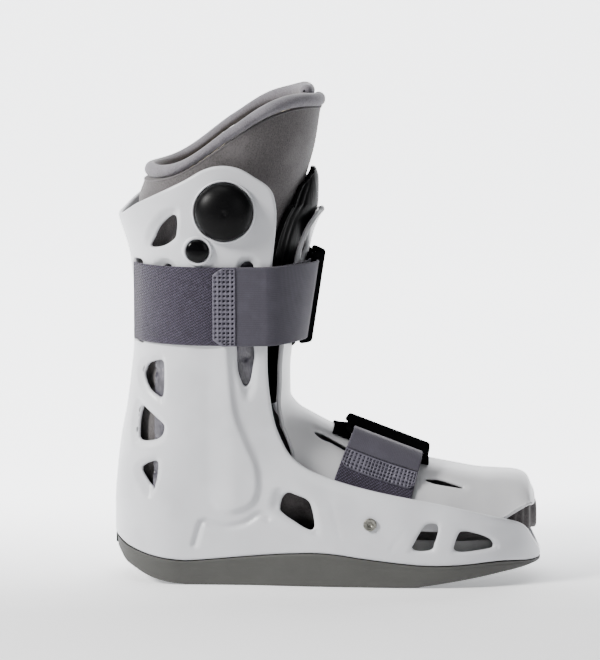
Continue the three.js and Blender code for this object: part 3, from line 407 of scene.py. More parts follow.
def grid_normals(grid):
    """Cross product of a grid's differences across it and down it."""
    across = np.gradient(grid, axis=1)
    down = np.gradient(grid, axis=0)
    return unit(np.cross(across, down))


def band(name, grid, thickness, lift=None):
    """A flat band with rounded edges.

    Each row of the grid becomes a closed section: the row moved out by half the thickness, a
    half circle round the edge, the row moved in, and a half circle back. lift adds to the
    outer face's height, as an array like the grid.
    """
    rows, cols, _ = grid.shape
    normal = grid_normals(grid)
    side = unit(grid[:, -1] - grid[:, -2])[:, None], unit(grid[:, 0] - grid[:, 1])[:, None]
    r = thickness / 2
    core = grid.copy()
    core[:, 0] -= side[1][:, 0] * r
    core[:, -1] -= side[0][:, 0] * r
    top = core + normal * (r + (0 if lift is None else lift[..., None]))
    low = core - normal * r
    turn = np.radians([45, 90, 135])[None, :, None]

    def edge(col, out, sign):
        n = normal[:, col][:, None]
        return core[:, col][:, None] + r * (n * np.cos(turn) * sign + out * np.sin(turn))

    ring = np.concatenate([top, edge(-1, side[0], 1), low[:, ::-1], edge(0, side[1], -1)], axis=1)
    count = ring.shape[1]
    end = np.arange(count)[None, :]
    faces = [quads(rows, count, round_cols=True), end, end[:, ::-1] + (rows - 1) * count]
    across = np.linspace(0, 1, cols)
    v = np.concatenate([across, [1, 1, 1], across[::-1], [0, 0, 0]])
    u = np.linspace(0, 1, rows)
    uv = np.stack(np.broadcast_arrays(u[:, None], v[None, :]), axis=-1).reshape(-1, 2)
    return made_mesh(name, ring.reshape(-1, 3), faces, uv)


# Field of a cut sheet, in steps: between its rows, along a hole's edge, and clear of a line
FIELD = {"rows": 0.87, "hole": 0.6, "clear": 0.65}


def cut_sheet(name, surface, outline, holes, step, wall, creases=(), relief=None, mirror=True):
    """A moulded sheet with rounded edges and holes.

    The outline, holes and creases are lines in the surface's own (u, v) millimetres. An even
    field of points inside them is joined by Delaunay triangles, raised by surface(u, v) and
    moved along the normal by relief(points). A second layer lies a wall deeper, and half
    circles join the two along every edge that isn't on the middle plane. The far half is the
    near half with y turned round.
    """
    outline = evenly(outline, step, True)
    holes = [evenly(hole, step * FIELD["hole"], True) for hole in holes]
    clear = FIELD["clear"] * step
    low, high = outline.min(axis=0), outline.max(axis=0)
    u, v = np.meshgrid(np.arange(low[0], high[0], step),
                       np.arange(low[1], high[1], step * FIELD["rows"]))
    u[1::2] += step / 2
    field = np.column_stack([u.ravel(), v.ravel()])
    field = field[inside(field, outline)]
    for hole in holes:
        field = field[~inside(field, hole)]
    loops, edges, start = [outline, *holes], [], 0
    for line in creases:
        line = evenly(line, step)
        field = np.vstack([field[distance(field, line) > clear], line])
    to_rim = np.min([distance(field, line, True) for line in loops], axis=0)
    field = field[to_rim > max(clear, wall / 2 + 0.6)]
    for line in loops:
        number = np.arange(start, start + len(line))
        edges.append(np.column_stack([number, np.roll(number, -1)]))
        start += len(line)
    flat = np.vstack([*loops, field])
    result = delaunay_2d_cdt([Vector(p) for p in flat.tolist()], np.vstack(edges).tolist(), [],
                             0, 1e-4)
    flat = np.array([tuple(p) for p in result[0]])
    tri = np.array(result[2])
    middle = flat[tri].mean(axis=1)
    keep = inside(middle, outline)
    for hole in holes:
        keep &= ~inside(middle, hole)
    used, tri = np.unique(tri[keep], return_inverse=True)
    flat, tri = flat[used], tri.reshape(-1, 3)

    points = surface(flat[:, 0], flat[:, 1])
    seam = np.abs(points[:, 1]) < 1e-3 if mirror else np.zeros(len(points), bool)
    if relief is not None:
        e = 0.3
        du = surface(flat[:, 0] + e, flat[:, 1]) - surface(flat[:, 0] - e, flat[:, 1])
        dv = surface(flat[:, 0], flat[:, 1] + e) - surface(flat[:, 0], flat[:, 1] - e)
        points = points + unit(np.cross(du, dv)) * relief(points, flat)[:, None]
    points[seam, 1] = 0
    face = np.cross(points[tri[:, 1]] - points[tri[:, 0]], points[tri[:, 2]] - points[tri[:, 0]])
    normal = np.zeros_like(points)
    for k in range(3):
        np.add.at(normal, tri[:, k], face)
    normal[seam, 1] = 0
    normal = unit(normal)

    sides = np.vstack([tri[:, [0, 1]], tri[:, [1, 2]], tri[:, [2, 0]]])
    _, first, count = np.unique(np.sort(sides, axis=1), axis=0, return_index=True,
                                return_counts=True)
    border = sides[first[count == 1]]
    border = border[~(seam[border].all(axis=1))]
    out = np.zeros_like(points)
    across = unit(np.cross(points[border[:, 1]] - points[border[:, 0]], normal[border[:, 0]]))
    np.add.at(out, border[:, 0], across)
    np.add.at(out, border[:, 1], across)
    out[seam, 1] = 0
    out = unit(out)
    rim = np.unique(border)
    r = wall / 2
    points[rim] -= out[rim] * r
    n = len(points)
    turn = np.radians([45, 90, 135])
    arcs = [points[rim] - normal[rim] * r + r * (normal[rim] * math.cos(a) + out[rim] * math.sin(a))
            for a in turn]
    number = np.zeros(n, int)
    number[rim] = np.arange(len(rim))
    a, b = ([end, *[2 * n + k * len(rim) + number[end] for k in range(3)], n + end]
            for end in border.T)
    strips = [np.column_stack([b[k], a[k], a[k + 1], b[k + 1]]) for k in range(4)]
    points = np.vstack([points, points - normal * wall, *arcs])
    uv = np.vstack([flat, flat, flat[rim], flat[rim], flat[rim]]) * MM
    faces = [tri, tri[:, ::-1] + n, np.vstack(strips)]
    if mirror:
        total = len(points)
        on_seam = np.abs(points[:, 1]) < 1e-6
        other = np.where(on_seam, np.arange(total), np.arange(total) + total)
        points = np.vstack([points, points * (1, -1, 1)])
        uv = np.vstack([uv, uv * (-1, 1)])
        faces += [other[f][:, ::-1] for f in faces]
    return made_mesh(name, points, faces, uv)


def turned(name, profile, at, face, sides=96):
    """A profile of (radius, rise) turned round a line along Y: x and z go round by cosine and
    sine of the angle, and y is the face less the rise. A first or last radius of 0 is a pole."""
    profile = np.array(profile, float)
    poles = [k for k in (0, len(profile) - 1) if profile[k, 0] < 1e-6]
    body = profile[[k for k in range(len(profile)) if k not in poles]]
    cx, cz = at
    angle = full_turn(sides)
    r, rise = body[:, :1], body[:, 1:]
    grid = np.stack([cx + r * np.cos(angle), np.broadcast_to(face - rise, (len(body), sides)),
                     cz + r * np.sin(angle)], axis=-1)
    points = [grid.reshape(-1, 3)]
    faces = [quads(len(body), sides, round_cols=True)]
    last = len(body) * sides
    for k in poles:
        row = 0 if k == 0 else len(body) - 1
        ring = row * sides + np.arange(sides)
        ahead = np.roll(ring, -1)
        hub = np.full(sides, last)
        points.append(np.array([[cx, face - profile[k, 1], cz]]))
        faces.append(np.column_stack([ahead, ring, hub] if k == 0 else [ring, ahead, hub]))
        last += 1
    return made_mesh(name, np.vstack(points), faces)


def arc_profile(centre, radii, start, end, steps=8):
    """Points of an elliptical arc in a profile, its angles in degrees."""
    turn = np.radians(np.linspace(start, end, steps))
    return np.array(centre) + radii * np.column_stack([np.cos(turn), np.sin(turn)])


def round_section(count):
    """Cosine and sine round a circle, to be carried along a line: (row, place, axis) arrays."""
    around = full_turn(count)[None, :, None]
    return np.cos(around), np.sin(around)


# Shader maths
class Wire:
    """One socket of a material. Sums, differences and products of wires add the Math nodes."""

    def __init__(self, look, socket):
        self.look, self.socket = look, socket

    def maths(self, operation, *values):
        return self.look.node("ShaderNodeMath", {"operation": operation}, dict(enumerate(values)))

    def __add__(self, other):
        return self.maths("ADD", self, other)

    def __sub__(self, other):
        return self.maths("SUBTRACT", self, other)

    def __mul__(self, other):
        return self.maths("MULTIPLY", self, other)

    def __rsub__(self, other):
        return self.maths("SUBTRACT", other, self)

    __radd__ = __add__
    __rmul__ = __mul__

    def above(self, edge, soft):
        """0 below the edge and 1 a soft width above it."""
        return self.look.node("ShaderNodeMapRange", {"interpolation_type": "SMOOTHSTEP"},
                              {0: self, 1: edge, 2: edge + soft})

    def through(self, operation):
        """The wire through a Math node of one value, such as SINE or FLOOR."""
        return self.maths(operation, self)


class Finish:
    """A material of one Principled shader, whose other nodes come from node()."""

    def __init__(self, name, **constants):
        self.material = bpy.data.materials.new(name)
        self.material.use_nodes = True
        self.tree = self.material.node_tree
        self.tree.nodes.clear()
        out = self.tree.nodes.new("ShaderNodeOutputMaterial")
        self.shader = self.tree.nodes.new("ShaderNodeBsdfPrincipled")
        self.tree.links.new(self.shader.outputs[0], out.inputs[0])
        for key, value in constants.items():
            self.shader.inputs[key.replace("_", " ")].default_value = value

    def node(self, kind, settings=None, values=None, output=0):
        """A node: its type, its settings, then the values or wires of its sockets."""
        made = self.tree.nodes.new(kind)
        for key, value in (settings or {}).items():
            setattr(made, key, value)
        for key, value in (values or {}).items():
            if isinstance(value, Wire):
                self.tree.links.new(value.socket, made.inputs[key])
            else:
                made.inputs[key].default_value = value
        return Wire(self, made.outputs[output])

    def place(self, scale=(1, 1, 1), turn=(0, 0, 0)):
        """Object coordinates in millimetres, stretched and turned."""
        where = self.node("ShaderNodeTexCoord", output="Object")
        size = tuple(s / MM for s in scale)
        return self.node("ShaderNodeMapping", None,
                         {"Vector": where, "Scale": size, "Rotation": turn})

    def sheet_place(self, scale=(1, 1, 1)):
        """UV places, stretched."""
        where = self.node("ShaderNodeTexCoord", output="UV")
        return self.node("ShaderNodeMapping", None, {"Vector": where, "Scale": scale})

    def noise(self, where, size, detail=3, rough=0.5):
        """Noise whose blotches are about size across, in the units of where."""
        return self.node("ShaderNodeTexNoise", None, {
            "Vector": where, "Scale": 1 / size, "Detail": detail, "Roughness": rough})

    def cells(self, where, size, loose=1):
        """Distance to the middle of the nearest of many cells, about size across."""
        return self.node("ShaderNodeTexVoronoi", None, {
            "Vector": where, "Scale": 1 / size, "Randomness": loose}, "Distance")

    def part(self, where, axis):
        """One coordinate: 0 for x or u, 1 for y or v, 2 for z."""
        return self.node("ShaderNodeSeparateXYZ", None, {0: where}, axis)

    def blend(self, share, a, b):
        """Colour a where the share is 0 and colour b where it is 1."""
        as_colour = [c if isinstance(c, Wire) else (*c, 1) for c in (a, b)]
        return self.node("ShaderNodeMix", {"data_type": "RGBA"},
                         {0: share, 6: as_colour[0], 7: as_colour[1]}, 2)

    def bump(self, height, distance, strength=1, under=None):
        """Bump of a height of 0 to 1 that stands for a distance in millimetres."""
        values = {"Height": height, "Distance": distance * MM, "Strength": strength}
        if under is not None:
            values["Normal"] = under
        return self.node("ShaderNodeBump", None, values)

    def wears(self, **wires):
        """Links wires to the shader's sockets."""
        for key, wire in wires.items():
            self.tree.links.new(wire.socket, self.shader.inputs[key.replace("_", " ")])
        return self.material


def rgb(r, g, b):
    """A colour of 0 to 255 as the screen shows it, as linear light."""
    c = np.array([r, g, b]) / 255
    return tuple(np.where(c <= 0.04045, c / 12.92, ((c + 0.055) / 1.055) ** 2.4).tolist())


# The shell's form
back_share = column(BACK_PROFILE)
foot_half = column(FOOT_HALF)
leg_half = column(LEG_HALF)
AROUND = 470


def round_end(distance_in, reach, power):
    """(1 - (d / reach)^power)^(1 / power), which rounds a plan outline off."""
    t = np.clip(distance_in / reach, 0, 1)
    return (1 - t**power) ** (1 / power)


def shell_ends(z):
    """Where the shell's back and toe lie at a height."""
    return place(back_share(z / SHELL_HEIGHT), 0)[0], BOOT_LENGTH / 2


def shell_half(x, z):
    """Half width of the shell: foot and leg widths blended, rounded off at heel and toe."""
    along, up = x / BOOT_LENGTH + 0.5, z / SHELL_HEIGHT
    back, toe = shell_ends(z)
    upright = smooth(*LEG_UP, up)
    leg = upright * (1 - smooth(*LEG_ALONG, along))
    lean = 1 - FOOT_LEAN["share"] * smooth(FOOT_LEAN["from"], FOOT_LEAN["to"], up)
    leg_shape = round_end(along - PLAN["leg"], PLAN["leg_reach"], PLAN["power"])
    wide = mix(foot_half(along) * BALL_WIDTH * lean, leg_half(up) * CALF_WIDTH * leg_shape, leg)
    heel_centre = place(mix(PLAN["heel"], PLAN["leg"], upright), 0)[0]
    toe_centre = place(PLAN["toe"], 0)[0]
    taper = SOLE_TAPER * (1 - smooth(0, SOLE_TAPER_UP, up))
    heel = round_end(heel_centre - x, heel_centre - back, PLAN["power"])
    front = round_end(x - toe_centre, toe - toe_centre, PLAN["power"])
    return np.maximum(0, (wide - taper) * heel * front)


def shell_around(u, z):
    """A point of the shell's outside: x runs from back to toe by (1 - cos) / 2 of u."""
    turn = np.pi * u / AROUND
    back, toe = shell_ends(z)
    x = mix(back, toe, (1 - np.cos(turn)) / 2)
    return np.stack([x, -shell_half(x, z) * np.sign(np.sin(turn)), z + 0 * x], axis=-1)


def to_around(line):
    """A line of the side view in the shell's own terms, u round it and z up it."""
    x, z = line[:, 0], line[:, 1]
    back, toe = shell_ends(z)
    share = np.clip((x - back) / (toe - back), 0, 1)
    return np.column_stack([np.arccos(1 - 2 * share) / np.pi * AROUND, z])


def shell_offset(x, z, off):
    """A near side point of the shell moved outwards along its normal."""
    step = 0.5
    slope_x = (shell_half(x + step, z) - shell_half(x - step, z)) / (2 * step)
    slope_z = (shell_half(x, z + step) - shell_half(x, z - step)) / (2 * step)
    normal = unit(np.stack([-slope_x, -1 + 0 * slope_x, -slope_z], axis=-1))
    return np.stack([x, -shell_half(x, z), z], axis=-1) + normal * np.asarray(off)[..., None]


def side_line(rows, steps=0, closed=False):
    """A side view table in millimetres, or a smooth curve of so many steps through it."""
    x, z = place(*np.array(rows, float).T)
    line = np.column_stack([x, z])
    return curve(line, steps, closed) if steps else line


vent_lines = [(side_line(hole, 120, True), side_line(dish, 120, True)) for hole, dish in VENTS]
ankle_line = side_line(ANKLE_EDGE, 120)
crease_line = side_line(LOW_CREASE, 60)
top_line = side_line(TOP_EDGE, 240)


def shell_relief(points, flat):
    """Dishes round the vents, the raised ankle and the moulded creases.

    A dish sinks evenly with d_edge / (d_edge + d_hole), the distances to its edge and to its
    hole, until it is full, and a narrow one is shallower. The ankle rises over a soft step
    inside its edge and fades out towards the heel. A crease is a groove exp(-(d / width)^2).
    The foot wall sinks a step below the lip along its top edge.
    """
    side = points[:, [0, 2]]
    height = np.zeros(len(points))
    for hole, dish in vent_lines:
        box = np.all((side > dish.min(axis=0)) & (side < dish.max(axis=0)), axis=1)
        near = np.flatnonzero(box)
        near = near[inside(side[near], dish)]
        if len(near):
            to_edge, to_hole = (distance(side[near], line, True) for line in (dish, hole))
            room = to_edge + to_hole + 1e-6
            sunk = np.minimum(1, to_edge / room / DISH["full_at"])
            height[near] -= np.minimum(DISH["depth"], DISH["slope"] * room) * sunk
    along, up = side[:, 0] / BOOT_LENGTH + 0.5, side[:, 1] / SHELL_HEIGHT
    within = inside(side, np.vstack([ankle_line, side_line(ANKLE_BACK)]))
    rise = smooth(0, ANKLE_RISE["edge"], distance(side, ankle_line)) * within
    rise *= smooth(*ANKLE_RISE["fade"], along)
    height += ANKLE_RISE["rise"] * rise * (1 - smooth(*ANKLE_RISE["top"], up))
    lip = smooth(LIP["width"] - LIP["soft"], LIP["width"] + LIP["soft"], distance(side, top_line))
    height -= LIP["step"] * lip * smooth(*LIP["along"], along) * smooth(*LIP["up"], up)
    for line, cut in ((crease_line, CREASE), *((side_line(c), FOOT_CREASE) for c in FOOT_CREASES)):
        height -= cut["depth"] * np.exp(-(distance(side, line) / cut["width"]) ** 2)
    return height


def shell_outline():
    """The near half's outline: the top edge to the toe, the parting line back, the seam up."""
    line = np.vstack([top_line, side_line(PARTING_LINE, 200)])
    flat = to_around(line)
    return flat[np.concatenate([[True], np.linalg.norm(np.diff(flat, axis=0), axis=1) > 1e-6])]


def strap_slot():
    """The slot at the shell's back that the calf strap comes out of."""
    x = place(STRAP_SLOT["along"], 0)[0]
    half = CALF_STRAP_WIDTH / 2 + 2 * SEAT_GAP
    corners = [(x + s * STRAP_SLOT["width"], strap_z + t * half)
               for s, t in ((0, -1), (1, -1), (1, 1), (0, 1))]
    return evenly(np.array(corners), 2.0, True)


def rear_shell(look):
    holes = [to_around(hole) for hole, _ in vent_lines] + [to_around(strap_slot())]
    step = 1.9
    creases = [to_around(dish) for _, dish in vent_lines]
    shell = cut_sheet("moulded_shell", shell_around, shell_outline(), holes, step, SHELL_WALL,
                      creases, shell_relief)
    fitted(shell, look, ["rear_shell"])


def outsole(look):
    """A rocker sole: at each step along the foot a closed section from the middle of the
    underside out round its lower edge, up the side to the parting line and back inside."""
    top = side_line(PARTING_LINE, 400)[::-1]
    low = side_line(SOLE_UNDERSIDE, 400)
    turn = np.linspace(0.004, 0.996, 220) * np.pi
    x = mix(SOLE["heel_in"], BOOT_LENGTH - SOLE["toe_in"], (1 - np.cos(turn)) / 2) - BOOT_LENGTH / 2
    high = np.interp(x, top[:, 0], top[:, 1]) - GAP
    under = np.interp(x, low[:, 0], low[:, 1])
    high = np.maximum(high, under + SOLE["least"])
    edge = np.minimum(SOLE["edge"], (high - under) * SOLE["edge_share"])
    wide = shell_half(x, under + edge)
    rows = [(under, wide * reach) for reach in (0, 0.3, 0.6, 0.85, 0.95)]
    for angle in np.radians([90, 75, 50, 25, 0]):
        rows.append((under + edge * (1 - np.sin(angle)),
                     np.maximum(0, wide - edge * (1 - np.cos(angle)))))
    for t in np.linspace(0, 1, 14)[1:]:
        z = mix(under + edge, high, t)
        off = (z - mix(under, high, SOLE_GROOVE["at"])) / SOLE_GROOVE["width"]
        groove = SOLE_GROOVE["depth"] * np.exp(-off ** 2)
        rows.append((z, np.maximum(0, shell_half(x, z) - groove)))
    for reach in (0.97, 0.9, 0.5, 0.0):
        rows.append((high, shell_half(x, high) * reach))
    near = [np.column_stack([x, -half, z]) for z, half in rows]
    far = [row * (1, -1, 1) for row in near[-2:0:-1]]
    grid = np.stack([*near, *far], axis=1)
    count = grid.shape[1]
    end = np.arange(count)[None, :]
    faces = [quads(len(x), count, round_cols=True)[:, ::-1], end[:, ::-1],
             end + (len(x) - 1) * count]
    sole = made_mesh("rocker_sole", grid.reshape(-1, 3), faces)
    fitted(sole, look, ["outsole"])


# The front cover and the pad behind it
def arch(rows, steady_from=99):
    """A sheet carried along a ridge: across it the half width times t, and a drop inwards of
    the ridge by |t| to a power. From the row steady_from on, inwards keeps that row's way."""
    along, up, half, drop, power = numbered(rows)

    def at(k, t):
        x, z = place(along(k), up(k))
        row = np.minimum(k, steady_from)
        x2, z2 = place(along(row + 0.05), up(row + 0.05))
        x1, z1 = place(along(row - 0.05), up(row - 0.05))
        ahead = unit(np.stack([x2 - x1, z2 - z1], axis=-1))
        depth = drop(k) * BALL_WIDTH * np.abs(t) ** power(k)
        return np.stack([x + ahead[..., 1] * depth, half(k) * BALL_WIDTH * t,
                         z - ahead[..., 0] * depth], axis=-1)

    at.last = len(rows) - 1
    return at


panel_point = arch(PANEL, STEADY_ROW)
pad_point = arch(SHIN_PAD)


def across_share(u, width):
    """Sine of u, slowed near the edge so that a steep flank gets as many points as a flat top."""
    return -np.sin(FLANK_TURN * u / width) / math.sin(FLANK_TURN)


def flattened(point, width):
    """An arch in its own millimetres: u from its middle to the near side and v down its ridge."""
    k = np.linspace(0, point.last, 600)
    run = run_along(point(k, np.zeros_like(k)))

    def surface(u, v):
        row = np.interp(v, run, k)
        return point(row, across_share(u, width))

    surface.run, surface.rows, surface.length = run, k, run[-1]
    return surface


def to_arch(line, point, surface, width):
    """A side view line in an arch's own terms, by the nearest of a fine grid of its points."""
    k, u = np.meshgrid(np.linspace(0, point.last, 1500), np.linspace(0.04, 1, 160) * width,
                       indexing="ij")
    grid = point(k, across_share(u, width))
    flat_k, flat_u = k.ravel(), u.ravel()
    side = grid.reshape(-1, 3)[:, [0, 2]]
    found = [np.argmin(((side - p) ** 2).sum(axis=1)) for p in line]
    return np.column_stack([flat_u[found], np.interp(flat_k[found], surface.rows, surface.run)])


def half_outline(surface, sheet):
    """Half of an arch's edge, from the middle of its top round to the middle of its end."""
    end, width, corner = surface.length, sheet["width"], sheet["corner"]
    turn = np.linspace(0, np.pi / 2, 8)
    top = np.column_stack([width - corner * (1 - np.sin(turn)), corner * (1 - np.cos(turn))])
    low = (width, end) - sheet["low_corner"] * np.column_stack([1 - np.cos(turn), 1 - np.sin(turn)])
    return np.vstack([[0, 0], top, low, [0, end]])


def front_panel(look):
    """The cover's arch, with its border a little thicker and its slots cut through."""
    width = PANEL_SHEET["width"]
    surface = flattened(panel_point, width)
    slots = [curve(to_arch(side_line(rows), panel_point, surface, width), 60, True)
             for rows in PANEL_SLOTS]
    outline = half_outline(surface, PANEL_SHEET)

    def relief(points, flat):
        near_edge = 1 - smooth(PANEL_BORDER["full_to"], PANEL_BORDER["gone_at"],
                               distance(flat, outline))
        height = PANEL_BORDER["raised"] * near_edge
        for slot in slots:
            near_slot = 1 - smooth(0, PANEL_SLOT_DISH["reach"], distance(flat, slot, True))
            height = height - PANEL_SLOT_DISH["depth"] * near_slot
        return height

    cover = cut_sheet("front_cover", surface, outline, slots, PANEL_SHEET["step"], PANEL_WALL,
                      (), relief)
    fitted(cover, look, ["front_panel"])


def shin_pad(look):
    width = PAD_SHEET["width"]
    surface = flattened(pad_point, width)
    outline = half_outline(surface, PAD_SHEET)

    def relief(points, flat):
        """Lengthwise creases, their depth exp(-(d / width)^2), and slow waves between them."""
        u, v = flat.T
        height = 0.5 * np.sin(v / 23 + u / 17) * smooth(0, 20, v)
        inner = smooth(4, 30, v) * smooth(2, 9, width - u)
        for at, sway in PAD_CREASES:
            line = at * width + sway * np.sin(v / 21 + at * 9)
            off = (u - line) / PAD_CREASE["width"]
            height -= PAD_CREASE["depth"] * np.exp(-off ** 2) * inner
        return height

    pad = cut_sheet("shin_cushion", surface, outline, [], PAD_SHEET["step"], SHIN_PAD_WALL, (),
                    relief)
    fitted(pad, look, ["shin_pad"])


# Straps, rings and the pads under the rings
LAYER = STRAP_THICKNESS + GAP
FOLD = RING_BAR + STRAP_THICKNESS + 2 * GAP
HUG = SEAT_GAP + STRAP_THICKNESS / 2
UNDER_BAR = RING_BAR / 2 + GAP + STRAP_THICKNESS / 2

panel_columns = numbered(PANEL)


def row_past(along):
    """The cover's first row that lies past a place along the foot."""
    k = np.linspace(9, panel_point.last, 900)
    return float(k[np.argmax(panel_columns[0](k) >= along)])


def row_below(up):
    """The cover's first row that lies below a height."""
    k = np.linspace(0, panel_point.last, 1800)
    return float(k[np.argmax(panel_columns[1](k) <= up)])


foot_rows = [row_past(FOOT_RING["along"] + s * FOOT_RING["half"]) for s in (-1, 1)]


def calf_frame():
    """The calf ring's way along the strap's width, its way out and its middle."""
    middle = panel_point(np.array(row_below(CALF_STRAP_AT[1])), np.array(0.0))
    return (unit(np.array([CALF_STRAP_LEAN, 0, 1])), unit(np.array([1, 0, -CALF_STRAP_LEAN])),
            middle + (CALF_RING["stand_off"], 0, 0))


def foot_frame():
    """The same for the foot's ring, over the cover's rows that it spans."""
    a, b = (panel_point(np.array(k), np.array(0.0)) for k in foot_rows)
    ahead = unit(b - a)
    normal = np.array([-ahead[2], 0, ahead[0]])
    return ahead, normal, (a + b) / 2 + normal * FOOT_RING["rise"]


def spanned(rows, ring_frame, sag, push, width):
    """Rows from the last one that hugs a surface to the ring's side bar, and under the bar."""
    ahead, normal, middle = ring_frame
    last = rows[-1]
    share = np.linspace(-0.5, 0.5, len(last))[:, None]
    end = middle - normal * (sag + UNDER_BAR) + ahead * share * width
    end[:, 1] = -BAR_OUTSIDE
    rows += [mix(last, end, t) + push * math.sin(math.pi * t) for t in (1 / 3, 2 / 3, 1)]
    return np.array([*rows, rows[-1] * (1, 0, 1) + (0, -BAR_INSIDE, 0)])


def calf_base():
    """Rows of the strap's middle layer: round the shell from its slot, then over to the ring.

    Where the two meet, each row goes half way to the mean of its neighbours.
    """
    start = place(STRAP_SLOT["along"], 0)[0] + STRAP_SLOT["width"] / 3
    v = np.linspace(-0.5, 0.5, 3) * CALF_STRAP_WIDTH
    rows = [shell_offset(np.full(3, x), strap_z + v, np.full(3, HUG))
            for x in np.linspace(start, strap_edge, 19)]
    meet = len(rows) - 1
    push = np.array([CALF_STRAP_BULGE, -CALF_STRAP_BULGE, 0])
    rows = spanned(rows, calf_frame(), CALF_RING["sag"], push, CALF_STRAP_WIDTH)
    rows[meet - 1:meet + 3] = (rows[meet - 2:meet + 2] + 2 * rows[meet - 1:meet + 3]
                               + rows[meet:meet + 4]) / 4
    return rows


def foot_base():
    """Rows of the strap's middle layer: up the cover's flank, then over to the ring."""
    ring_frame = foot_frame()
    ahead, normal, _ = ring_frame
    row = mix(foot_rows[0], foot_rows[1], np.linspace(0, 1, 4))
    rows = []
    for t in -np.linspace(FOOT_STRAP_REACH["low"], FOOT_STRAP_REACH["high"], 9):
        p = panel_point(row, np.full(4, t))
        out = unit(np.cross(panel_point(row, np.full(4, t + 0.02)) - p, ahead))
        out = np.where(out[:, 2:] < out[:, 1:2], -out, out)
        rows.append(p + out * HUG)
    return spanned(rows, ring_frame, FOOT_RING["sag"], normal * FOOT_STRAP_BULGE,
                   FOOT_STRAP_WIDTH)


def folded(base, back_to):
    """A strap's half circle round the bar, its outer layer back to a row, and all of that layer."""
    last = len(base) - 1
    before, after = np.vstack([base[:1], base[:-1]]), np.vstack([base[1:], base[-1:]])
    up = (base[:, -1] - base[:, 0])[:, None]
    out = -unit(np.cross(after - before, up))
    if out[last - 2, 1, 1] >= 0:
        out = -out
    spread = mix(LAYER, FOLD, smooth(last - 4, last - 1, np.arange(last + 1)))[:, None, None]
    outer = base + out * spread
    ahead = unit(base[last] - base[last - 1])
    turn = [base[last] + out[last] * FOLD / 2 * (1 - math.cos(a)) + ahead * FOLD / 2 * math.sin(a)
            for a in np.radians([45, 90, 135])]
    return np.array(turn), outer[last:back_to - 1:-1], outer


def grid_surface(grid):
    """A fine grid of points as a surface in its own millimetres, by straight blends."""
    rows, cols, _ = grid.shape
    run = run_along(grid[:, cols // 2])
    width = run_along(grid[rows // 2])[-1]

    def surface(u, v):
        i = np.clip(np.interp(u, run, np.arange(rows)), 0, rows - 1.001)
        j = np.clip(v / width * (cols - 1), 0, cols - 1.001)
        a, b = i.astype(int), j.astype(int)
        s, t = (i - a)[:, None], (j - b)[:, None]
        return mix(mix(grid[a, b], grid[a + 1, b], s),
                   mix(grid[a, b + 1], grid[a + 1, b + 1], s), t)

    surface.length, surface.width = run[-1], width
    return surface


def hook_tab(name, outer, rows, corner, pitch, hole, look, node):
    """The perforated tab on the outer layer's end: a grid of small holes, its far corners cut."""
    surface = grid_surface(refined(outer[rows[1]:rows[0] - 1:-1], 60, 40))
    length, width = surface.length, surface.width
    inset = TAB["inset"]
    outline = np.array([(GAP, inset), (length - corner, inset), (length, corner + inset),
                        (length, width - corner - inset), (length - corner, width - inset),
                        (GAP, width - inset)])
    across = int((width - 2 * pitch * TAB["side_room"]) // pitch) + 1
    along = int((length - GAP - pitch * TAB["end_room"]) // pitch) + 1
    u = GAP + (length - GAP) / 2 + (np.arange(along) - (along - 1) / 2) * pitch
    v = width / 2 + (np.arange(across) - (across - 1) / 2) * pitch
    turn = full_turn(8)
    round_hole = np.column_stack([np.cos(turn), np.sin(turn)]) * hole
    room = mix(outline, np.array([length / 2, width / 2]), TAB["clear"])
    places = np.array([(a, b) for a in u for b in v])
    holes = [p + round_hole for p in places[inside(places, room)]]
    tab = cut_sheet(name, surface, outline, holes, TAB["step"], STRAP_THICKNESS, mirror=False)
    fitted(tab, look, [node])


def rounded(half_x, half_y, corner):
    """A rectangle round the origin with round corners."""
    turn = np.radians(np.arange(0, 91, 18))
    line = []
    for k, (sx, sy) in enumerate([(1, 1), (-1, 1), (-1, -1), (1, -1)]):
        ray = np.column_stack([np.cos(turn + k * np.pi / 2), np.sin(turn + k * np.pi / 2)])
        line.append(np.array([sx * (half_x - corner), sy * (half_y - corner)]) + ray * corner)
    return np.vstack(line)


def ring_plate(name, length, ring_frame, sag, look, node):
    """A plate with a slot at each side, whose sides are bent back by the sag times the square
    of their distance from its middle."""
    ahead, normal, middle = ring_frame
    side = np.cross(ahead, normal)
    slot_edge = RING_HALF_SPAN - RING_BAR_WIDTH / 2
    half_y = length / 2 + RING_END_ROOM

    def surface(u, v):
        bent = RING_BAR / 2 - sag * np.minimum(1, np.abs(u) / slot_edge) ** 2
        return middle + u[:, None] * side + v[:, None] * ahead + bent[:, None] * normal

    slot = rounded(RING_SLOT / 2, half_y - RING_BAR_WIDTH, RING_PLATE["slot_corner"])
    slots = [slot + (s * (slot_edge - RING_SLOT / 2), 0) for s in (1, -1)]
    outline = rounded(RING_HALF_SPAN + RING_BAR_WIDTH / 2, half_y, RING_PLATE["corner"])
    plate = cut_sheet(name, surface, outline, slots, RING_PLATE["step"], RING_BAR, mirror=False)
    fitted(plate, look, [node])


def ring_pad(name, rows, look, node):
    """A soft pad between the ring and the cover: full in its middle, thin at its edges."""
    k, u = np.meshgrid(np.linspace(rows[0], rows[1], 70), np.linspace(1, -1, 60), indexing="ij")
    edge = RING_PAD["half"] / (panel_columns[2](k) * BALL_WIDTH)
    grid = panel_point(k, u * edge)
    row = np.linspace(0, 1, 70)[:, None]
    sideways = smooth(RING_PAD["full_to"], RING_PAD["thin_from"], np.abs(u))
    lengthways = smooth(0, RING_PAD["ends"], np.minimum(row, 1 - row))
    swell = (RING_PAD["middle"] - RING_PAD["side"]) * lengthways * (1 - sideways)
    middle = grid + grid_normals(grid) * (SEAT_GAP + RING_PAD["side"] / 2)
    pad = band(name, middle, RING_PAD["side"], swell)
    fitted(pad, look, [node])


